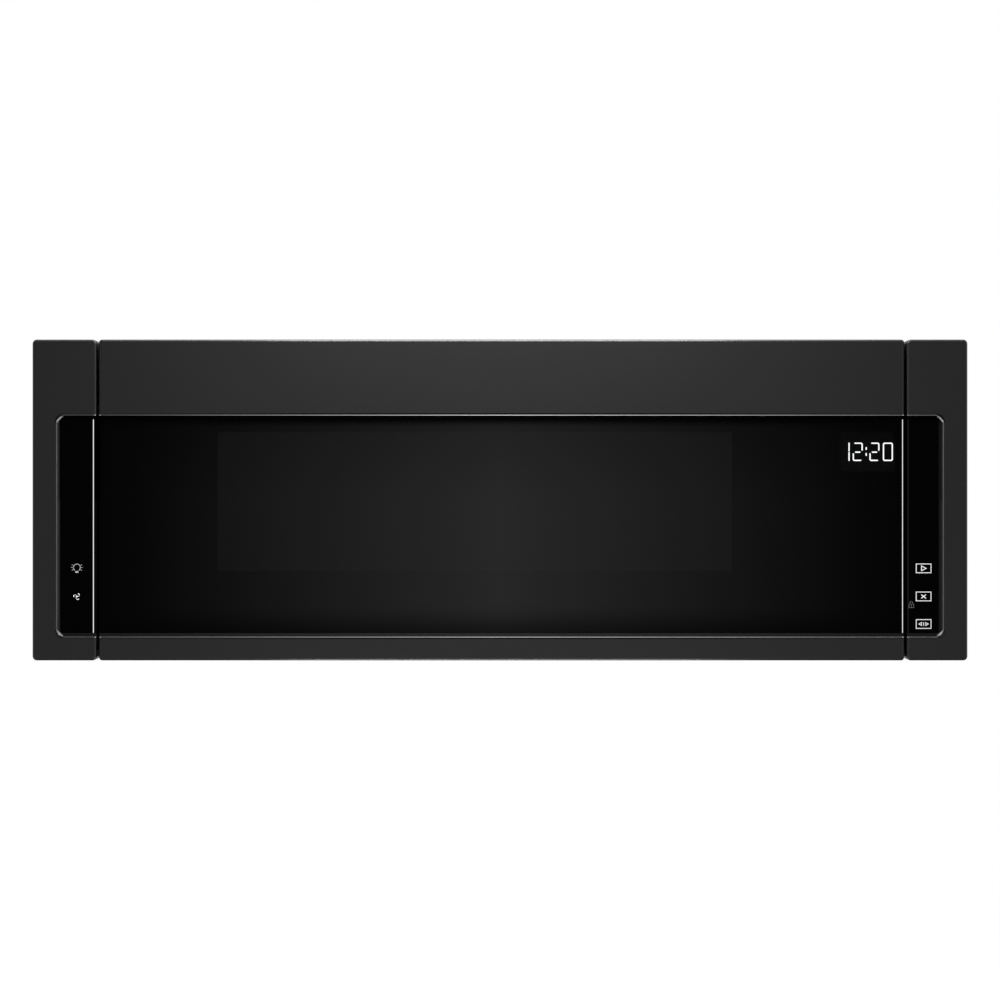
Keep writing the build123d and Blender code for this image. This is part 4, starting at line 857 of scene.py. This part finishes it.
def makeClock():
    finish = Finish("clock_light", Roughness=clock["roughness"], Emission_Strength=clock["glow"])
    spots = finish.noise(finish.place, *clock["spots"])
    finish.paint("Emission_Color", finish.blend(clock["colour"], clock["white"], spots))
    finish.paint("Base_Color", finish.blend(clock["unlit"], clock["unlitBlue"], spots))
    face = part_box("display_module")[0][1]
    size = np.array((clock["width"], clock["height"]))
    shapes = []
    left = clock["left"]
    for sign in clock["time"]:
        isColon = sign == ":"
        if isColon:
            left += clock["colonGap"]
        start = np.array((left - clock["colonShift"] if isColon else left, clock["bottom"]))
        for path in digitStrokes[sign]:
            points = start + np.array(path) * size
            shapes.append(stroke(points, clock["bar"], face, clock["depth"], sign == "0"))
        if not isColon:
            left += clock["pitch"]
    makePiece("clock_digits", shapes, finish, "door")


makeClock()
print("clock made")


# the signs printed on the glass of the two columns: ink is how pale a print is, and glow how
# much it is lit from behind
signs = {
    "rise": 0.04 * mm,
    "whiteInk": 0.85,
    "whiteGlow": 0.44,
    "greyInk": 0.62,
    "greyGlow": 0.16,
    "faintInk": 0.28,
    "faintGlow": 0.02,
    "thinInk": 0.9,
    "glowTint": (0.9, 0.9, 0.92),
    "glowWhite": (1, 1, 1),
    "spots": (900, 2),
    "roughness": 0.45,
}

def makePrint(name, ink, glow):
    finish = Finish(name, Roughness=signs["roughness"], Emission_Strength=glow)
    spots = finish.noise(finish.place, *signs["spots"])
    thin = ink * signs["thinInk"]
    finish.paint("Base_Color", finish.blend((thin, thin, thin), (ink, ink, ink), spots))
    finish.paint("Emission_Color", finish.blend(signs["glowTint"], signs["glowWhite"], spots))
    return finish


whitePrint = makePrint("white_print", signs["whiteInk"], signs["whiteGlow"])
greyPrint = makePrint("grey_print", signs["greyInk"], signs["greyGlow"])
faintPrint = makePrint("faint_print", signs["faintInk"], signs["faintGlow"])
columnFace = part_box("left_column_glass")[0][1]

# paths are (points, width, closed)
def makeSign(name, paths, finish):
    shapes = [
        stroke(points, width, columnFace, signs["rise"], closed) for points, width, closed in paths
    ]
    makePiece(name, shapes, finish, "case")


lampSign = {
    "middle": np.array((-343.6, -54.8)) * mm,
    "radius": 2.8 * mm,
    "line": 0.5 * mm,
    "glassTurn": (-52, 232),
    "glassSteps": 30,
    "rays": (-30, 0, 30, 150, 180, 210),
    "rayFrom": 3.5 * mm,
    "rayTo": 4.6 * mm,
    "rayLine": 0.34 * mm,
    "baseBelow": 3.6 * mm,
    "baseHalf": 0.7 * mm,
    "baseLine": 1.35 * mm,
}

def makeLampSign():
    middle = lampSign["middle"]
    glass = arc(middle, lampSign["radius"], *lampSign["glassTurn"], lampSign["glassSteps"])
    paths = [(glass, lampSign["line"], False)]
    for turn in lampSign["rays"]:
        way = np.array((np.cos(np.radians(turn)), np.sin(np.radians(turn))))
        ends = [middle + way * lampSign["rayFrom"], middle + way * lampSign["rayTo"]]
        paths.append((ends, lampSign["rayLine"], False))
    below, half = lampSign["baseBelow"], lampSign["baseHalf"]
    base = [middle + (-half, -below), middle + (half, -below)]
    paths.append((base, lampSign["baseLine"], False))
    makeSign("lamp_sign", paths, greyPrint)


fanSign = {
    "middle": np.array((-343.6, -78.3)) * mm,
    "hubHalf": 0.3 * mm,
    "hubLine": 1.05 * mm,
    "blades": (50, 170, 290),
    "bladeFromMiddle": 1.4 * mm,
    "bladeRadius": 1.2 * mm,
    "bladeTurn": (-170, 30),
    "bladeSteps": 14,
    "bladeLine": 0.3 * mm,
    "tipSteps": 3,
    "tipLine": 0.65 * mm,
}

# each blade is an arc round a point beside the hub, with a thick end
def makeFanSign():
    middle = fanSign["middle"]
    half = np.array((fanSign["hubHalf"], 0))
    paths = [([middle - half, middle + half], fanSign["hubLine"], False)]
    for turn in fanSign["blades"]:
        way = np.array((np.cos(np.radians(turn)), np.sin(np.radians(turn))))
        bladeMiddle = middle + way * fanSign["bladeFromMiddle"]
        start, end = (turn + step for step in fanSign["bladeTurn"])
        blade = arc(bladeMiddle, fanSign["bladeRadius"], start, end, fanSign["bladeSteps"])
        paths.append((blade, fanSign["bladeLine"], False))
        paths.append(([blade[-1], blade[-1 - fanSign["tipSteps"]]], fanSign["tipLine"], False))
    makeSign("fan_sign", paths, whitePrint)


# each key is a frame round its own sign
keys = {
    "x": 344.0 * mm,
    "half": np.array((6.0, 3.575)) * mm,
    "line": 0.62 * mm,
    "startZ": -55.5 * mm,
    "cancelZ": -78.3 * mm,
    "openZ": -100.7 * mm,
}

def keyFrame(middle):
    corners = np.array(((-1, -1), (-1, 1), (1, 1), (1, -1))) * keys["half"]
    return middle + corners, keys["line"], True


startSign = {"points": np.array(((-1.7, -1.9), (-1.7, 1.9), (2.0, 0))) * mm, "line": 0.7 * mm}

def makeStartKey():
    middle = np.array((keys["x"], keys["startZ"]))
    paths = [keyFrame(middle), (middle + startSign["points"], startSign["line"], True)]
    makeSign("start_key_sign", paths, whitePrint)


cancelSign = {"reach": np.array((1.7, 1.3)) * mm, "line": 0.75 * mm}

def makeCancelKey():
    middle = np.array((keys["x"], keys["cancelZ"]))
    paths = [keyFrame(middle)]
    for side in (-1, 1):
        reach = cancelSign["reach"] * (1, side)
        paths.append(([middle - reach, middle + reach], cancelSign["line"], False))
    makeSign("cancel_key_sign", paths, whitePrint)


lockSign = {
    "middle": np.array((334.0, -85.0)) * mm,
    "body": np.array(((-1.9, -2.4), (-1.9, 0.5), (1.9, 0.5), (1.9, -2.4))) * mm,
    "shackleUp": np.array((0, 0.9)) * mm,
    "shackleRadius": 1.25 * mm,
    "shackleSquash": 1.35,
    "shackleSteps": 14,
    "line": 0.3 * mm,
    "hole": np.array(((0, -1.3), (0, -0.6))) * mm,
    "holeLine": 0.5 * mm,
}

def makeLockSign():
    middle, line = lockSign["middle"], lockSign["line"]
    shackleMiddle = middle + lockSign["shackleUp"]
    steps, squash = lockSign["shackleSteps"], lockSign["shackleSquash"]
    shackle = arc(shackleMiddle, lockSign["shackleRadius"], 0, 180, steps, squash)
    paths = [
        (middle + lockSign["body"], line, True),
        (shackle, line, False),
        (middle + lockSign["hole"], lockSign["holeLine"], False),
    ]
    makeSign("lock_sign", paths, faintPrint)


openSign = {
    "barHalf": np.array((0, 1.2)) * mm,
    "barLine": 0.6 * mm,
    "headFrom": 1.7 * mm,
    "headTo": 3.9 * mm,
    "headHalf": 1.25 * mm,
    "headLine": 0.55 * mm,
}

# a bar between two arrow heads that point apart
def makeOpenKey():
    middle = np.array((keys["x"], keys["openZ"]))
    bar = [middle - openSign["barHalf"], middle + openSign["barHalf"]]
    paths = [keyFrame(middle), (bar, openSign["barLine"], False)]
    near, far, half = openSign["headFrom"], openSign["headTo"], openSign["headHalf"]
    for side in (-1, 1):
        head = middle + np.array(((near, -half), (near, half), (far, 0))) * side
        paths.append((head, openSign["headLine"], True))
    makeSign("open_key_sign", paths, whitePrint)


makeLampSign()
makeFanSign()
makeStartKey()
makeCancelKey()
makeLockSign()
makeOpenKey()
print("signs made")


# the expanded metal in each grease filter: rows of wires that zigzag towards each other
filterMesh = {
    "rim": 7 * mm,
    "cellWidth": 7.2 * mm,
    "cellDepth": 4.6 * mm,
    "halfWide": 0.42 * mm,
    "halfTall": 0.3 * mm,
    "overlap": 0.25 * mm,
    "stagger": 0.12 * mm,
    "lower": -126.3 * mm,
    "upper": -122.1 * mm,
}

# a wire's y is its row's middle, plus and minus the reach in turn along x. The two sides turn
# the opposite way, a little apart in height, so that no two faces lie in one plane at a crossing
def zigzagRows(low, high, height, side):
    startX, endX = low[0] + filterMesh["rim"], high[0] - filterMesh["rim"]
    startY, endY = low[1] + filterMesh["rim"], high[1] - filterMesh["rim"]
    rows = int((endY - startY) / filterMesh["cellDepth"])
    stations = 2 * int((endX - startX) / filterMesh["cellWidth"]) + 1
    along = np.linspace(startX, endX, stations)
    middles = startY + (np.arange(rows) + 0.5) * (endY - startY) / rows
    wave = np.where(np.arange(stations) % 2, 1.0, -1.0) * side
    reach = filterMesh["cellDepth"] / 2 - filterMesh["overlap"]
    y = middles[:, None] + wave[None] * reach
    x = np.broadcast_to(along, y.shape)
    z = np.full(y.shape, height) + filterMesh["stagger"] * side
    return np.stack((x, y, z), axis=2)


def makeFilterMesh():
    wide, tall = filterMesh["halfWide"], filterMesh["halfTall"]
    section = [(wide, -tall), (wide, tall), (-wide, tall), (-wide, -tall)]
    for name in ("left_filter", "right_filter"):
        low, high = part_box(name)
        shapes = [
            sweep(zigzagRows(low, high, height, side), (0, 0, 1), section)
            for height in (filterMesh["lower"], filterMesh["upper"])
            for side in (-1, 1)
        ]
        makePiece(name + "_mesh", shapes, finishes["aluminium"], name)


makeFilterMesh()
print("filter mesh made")


# the camera, square on to the front as in the photograph
camera = {"distance": 5.0, "metresAcross": 0.8116, "sensor": 36.0}

def makeCamera():
    data = bpy.data.cameras.new("camera")
    data.sensor_width = camera["sensor"]
    data.lens = camera["sensor"] * camera["distance"] / camera["metresAcross"]
    holder = bpy.data.objects.new("camera", data)
    bpy.context.scene.collection.objects.link(holder)
    holder.location = (0, frameLow[1] - camera["distance"], 0)
    holder.rotation_euler = (0.5 * np.pi, 0, 0)
    bpy.context.scene.camera = holder


makeCamera()


# what mirrors show of the room: pale behind, above and beside, dark in front, so that the front
# stays black. Each pale part starts where the way to it has turned that far
room = {
    "diffuse": 0.62,
    "front": 0.012,
    "left": 0.6,
    "right": 1.0,
    "above": 0.5,
    "behind": 0.4,
    "sidesStart": (0.6, 0.85),
    "aboveStarts": (0.45, 0.75),
    "behindStarts": (0.0, 0.5),
}

def makeWorld():
    world = bpy.data.worlds.new("studio")
    bpy.context.scene.world = world
    tree = Tree(world)
    x, y, z = tree.split(tree.node("TexCoord"))
    behind = tree.rise(y, *room["behindStarts"]) * room["behind"]
    above = tree.rise(z, *room["aboveStarts"]) * room["above"]
    right = tree.rise(x, *room["sidesStart"]) * room["right"]
    left = tree.rise(0 - x, *room["sidesStart"]) * room["left"]
    sides = tree.most(right, left)
    mirrored = tree.most(tree.most(behind, above), tree.most(sides, room["front"]))
    isCamera, isGlossy, isTransmitted = tree.rays()
    level = room["diffuse"] * (1 - isGlossy) + mirrored * isGlossy
    level = tree.most(level, tree.most(isCamera, isTransmitted))
    background = tree.nodes["Background"]
    tree.feed(background.inputs["Color"], (1, 1, 1))
    tree.feed(background.inputs["Strength"], level)


makeWorld()


def placeSheet(name, corners, material):
    mesh = bpy.data.meshes.new(name)
    mesh.from_pydata(corners, [], [(0, 1, 2, 3)])
    mesh.materials.append(material)
    sheet = bpy.data.objects.new(name, mesh)
    bpy.context.scene.collection.objects.link(sheet)
    return sheet


# a pale floor that fades to the white background, and is clear from below
floor = {
    "height": -0.5,
    "half": 6.0,
    "fades": (0.7, 2.2),
    "colour": (0.25, 0.25, 0.25),
    "lift": 0.84,
    "mirror": 0.5,
}

def makeFloor():
    material = bpy.data.materials.new("floor")
    tree = Tree(material)
    tree.nodes.remove(tree.nodes["Principled BSDF"])
    x, y, z = tree.split(tree.objectPlace())
    far = tree.rise(tree.length(x, y), *floor["fades"])
    isCamera, isGlossy, isTransmitted = tree.rays()
    mirrored = tree.most(isGlossy, isTransmitted) * floor["mirror"]
    matt = tree.node("BsdfDiffuse", None, {"Color": floor["colour"]})
    glow = {"Color": (1, 1, 1), "Strength": isCamera * floor["lift"]}
    lit = tree.node("AddShader", None, {0: matt, 1: tree.node("Emission", None, glow)})
    white = tree.node("Emission", None, {"Color": (1, 1, 1), "Strength": 1.0})
    faded = tree.node("MixShader", None, {0: far * tree.most(isCamera, mirrored), 1: lit, 2: white})
    clear = tree.node("BsdfTransparent")
    under = Wire(tree, tree.node("NewGeometry").socket.node.outputs["Backfacing"])
    shown = tree.node("MixShader", None, {0: under, 1: faded, 2: clear})
    tree.feed(tree.nodes["Material Output"].inputs["Surface"], shown)
    half, height = floor["half"], floor["height"]
    corners = [(x * half, y * half, height) for x, y in ((-1, -1), (1, -1), (1, 1), (-1, 1))]
    placeSheet("floor", corners, material)


makeFloor()


# a soft panel behind the camera, which the glass mirrors. Its light falls off to both sides as
# the share of the half width that is left, to a power. Upwards it is dim, then full, falls a
# little, ends in a dark slit, and starts again bright above it for the lips
panel = {
    "y": -5.67,
    "halfWidth": 0.7,
    "low": -0.34,
    "high": 1.0,
    "power": 1.45,
    "level": 0.465,
    "dimLevel": 0.32,
    "dim": (-0.226, -0.17),
    "fall": 0.3,
    "fallFrom": -0.02,
    "slit": (0.119, 0.135),
    "upper": (0.1355, 0.139),
    "upperLevel": 1.1,
    "edge": (-0.236, -0.2225),
    "edgeLevel": 0.55,
    "leastAtSides": 0.09,
    "sides": (0.733, 0.8),
    "sideLevel": 0.07,
}

def makePanel():
    material = bpy.data.materials.new("soft_panel")
    tree = Tree(material)
    tree.nodes.remove(tree.nodes["Principled BSDF"])
    x, y, z = tree.split(tree.objectPlace())
    across = tree.most(1 - abs(x) / panel["halfWidth"], 0.0)
    bell = tree.maths("POWER", across, panel["power"])
    lower = tree.rise(z, *panel["dim"]) * (1 - panel["dimLevel"]) + panel["dimLevel"]
    fall = 1 - tree.rise(z, panel["fallFrom"], panel["slit"][0]) * panel["fall"]
    slit = 1 - tree.rise(z, *panel["slit"])
    upper = tree.rise(z, *panel["upper"]) * panel["upperLevel"]
    edge = tree.within(z, *panel["edge"]) * panel["edgeLevel"]
    beside = (abs(x) > panel["sides"][0]) * panel["sideLevel"]
    full = bell * (lower * fall * slit * panel["level"])
    level = full + (bell + panel["leastAtSides"]) * (upper + edge) + beside
    glow = tree.node("Emission", None, {"Color": (1, 1, 1), "Strength": level + room["front"]})
    tree.feed(tree.nodes["Material Output"].inputs["Surface"], glow)
    half, depth, low, high = panel["sides"][1], panel["y"], panel["low"], panel["high"]
    corners = [(-half, depth, low), (half, depth, low), (half, depth, high), (-half, depth, high)]
    placeSheet("soft_panel", corners, material).visible_camera = False


makePanel()


# the top softbox lights the object, and the strips draw the lines on the door's edges
softboxes = {
    "top_softbox": {
        "place": (0, -0.5, 1.15),
        "aim": (0, -0.4, 0),
        "size": (0.7, 0.5),
        "power": 7.6,
    },
    "near_strip": {
        "place": (0, -0.535, 0.32),
        "aim": (0, -0.465, 0.12),
        "size": (0.38, 0.09),
        "power": 2.0,
    },
    "low_strip": {
        "place": (0, -0.505, -0.33),
        "aim": (0, -0.465, -0.12),
        "size": (0.36, 0.06),
        "power": 0.82,
    },
}

def makeSoftboxes():
    for name, softbox in softboxes.items():
        data = bpy.data.lights.new(name, "AREA")
        data.shape = "RECTANGLE"
        data.size, data.size_y = softbox["size"]
        data.energy = softbox["power"]
        holder = bpy.data.objects.new(name, data)
        bpy.context.scene.collection.objects.link(holder)
        holder.location = softbox["place"]
        way = np.array(softbox["aim"]) - softbox["place"]
        holder.rotation_euler = (np.arctan2(way[1], -way[2]), 0, 0)  # a lamp shines down its z
        holder.visible_camera = False


makeSoftboxes()
print("studio made")

bpy.context.scene.view_settings.view_transform = "Standard"
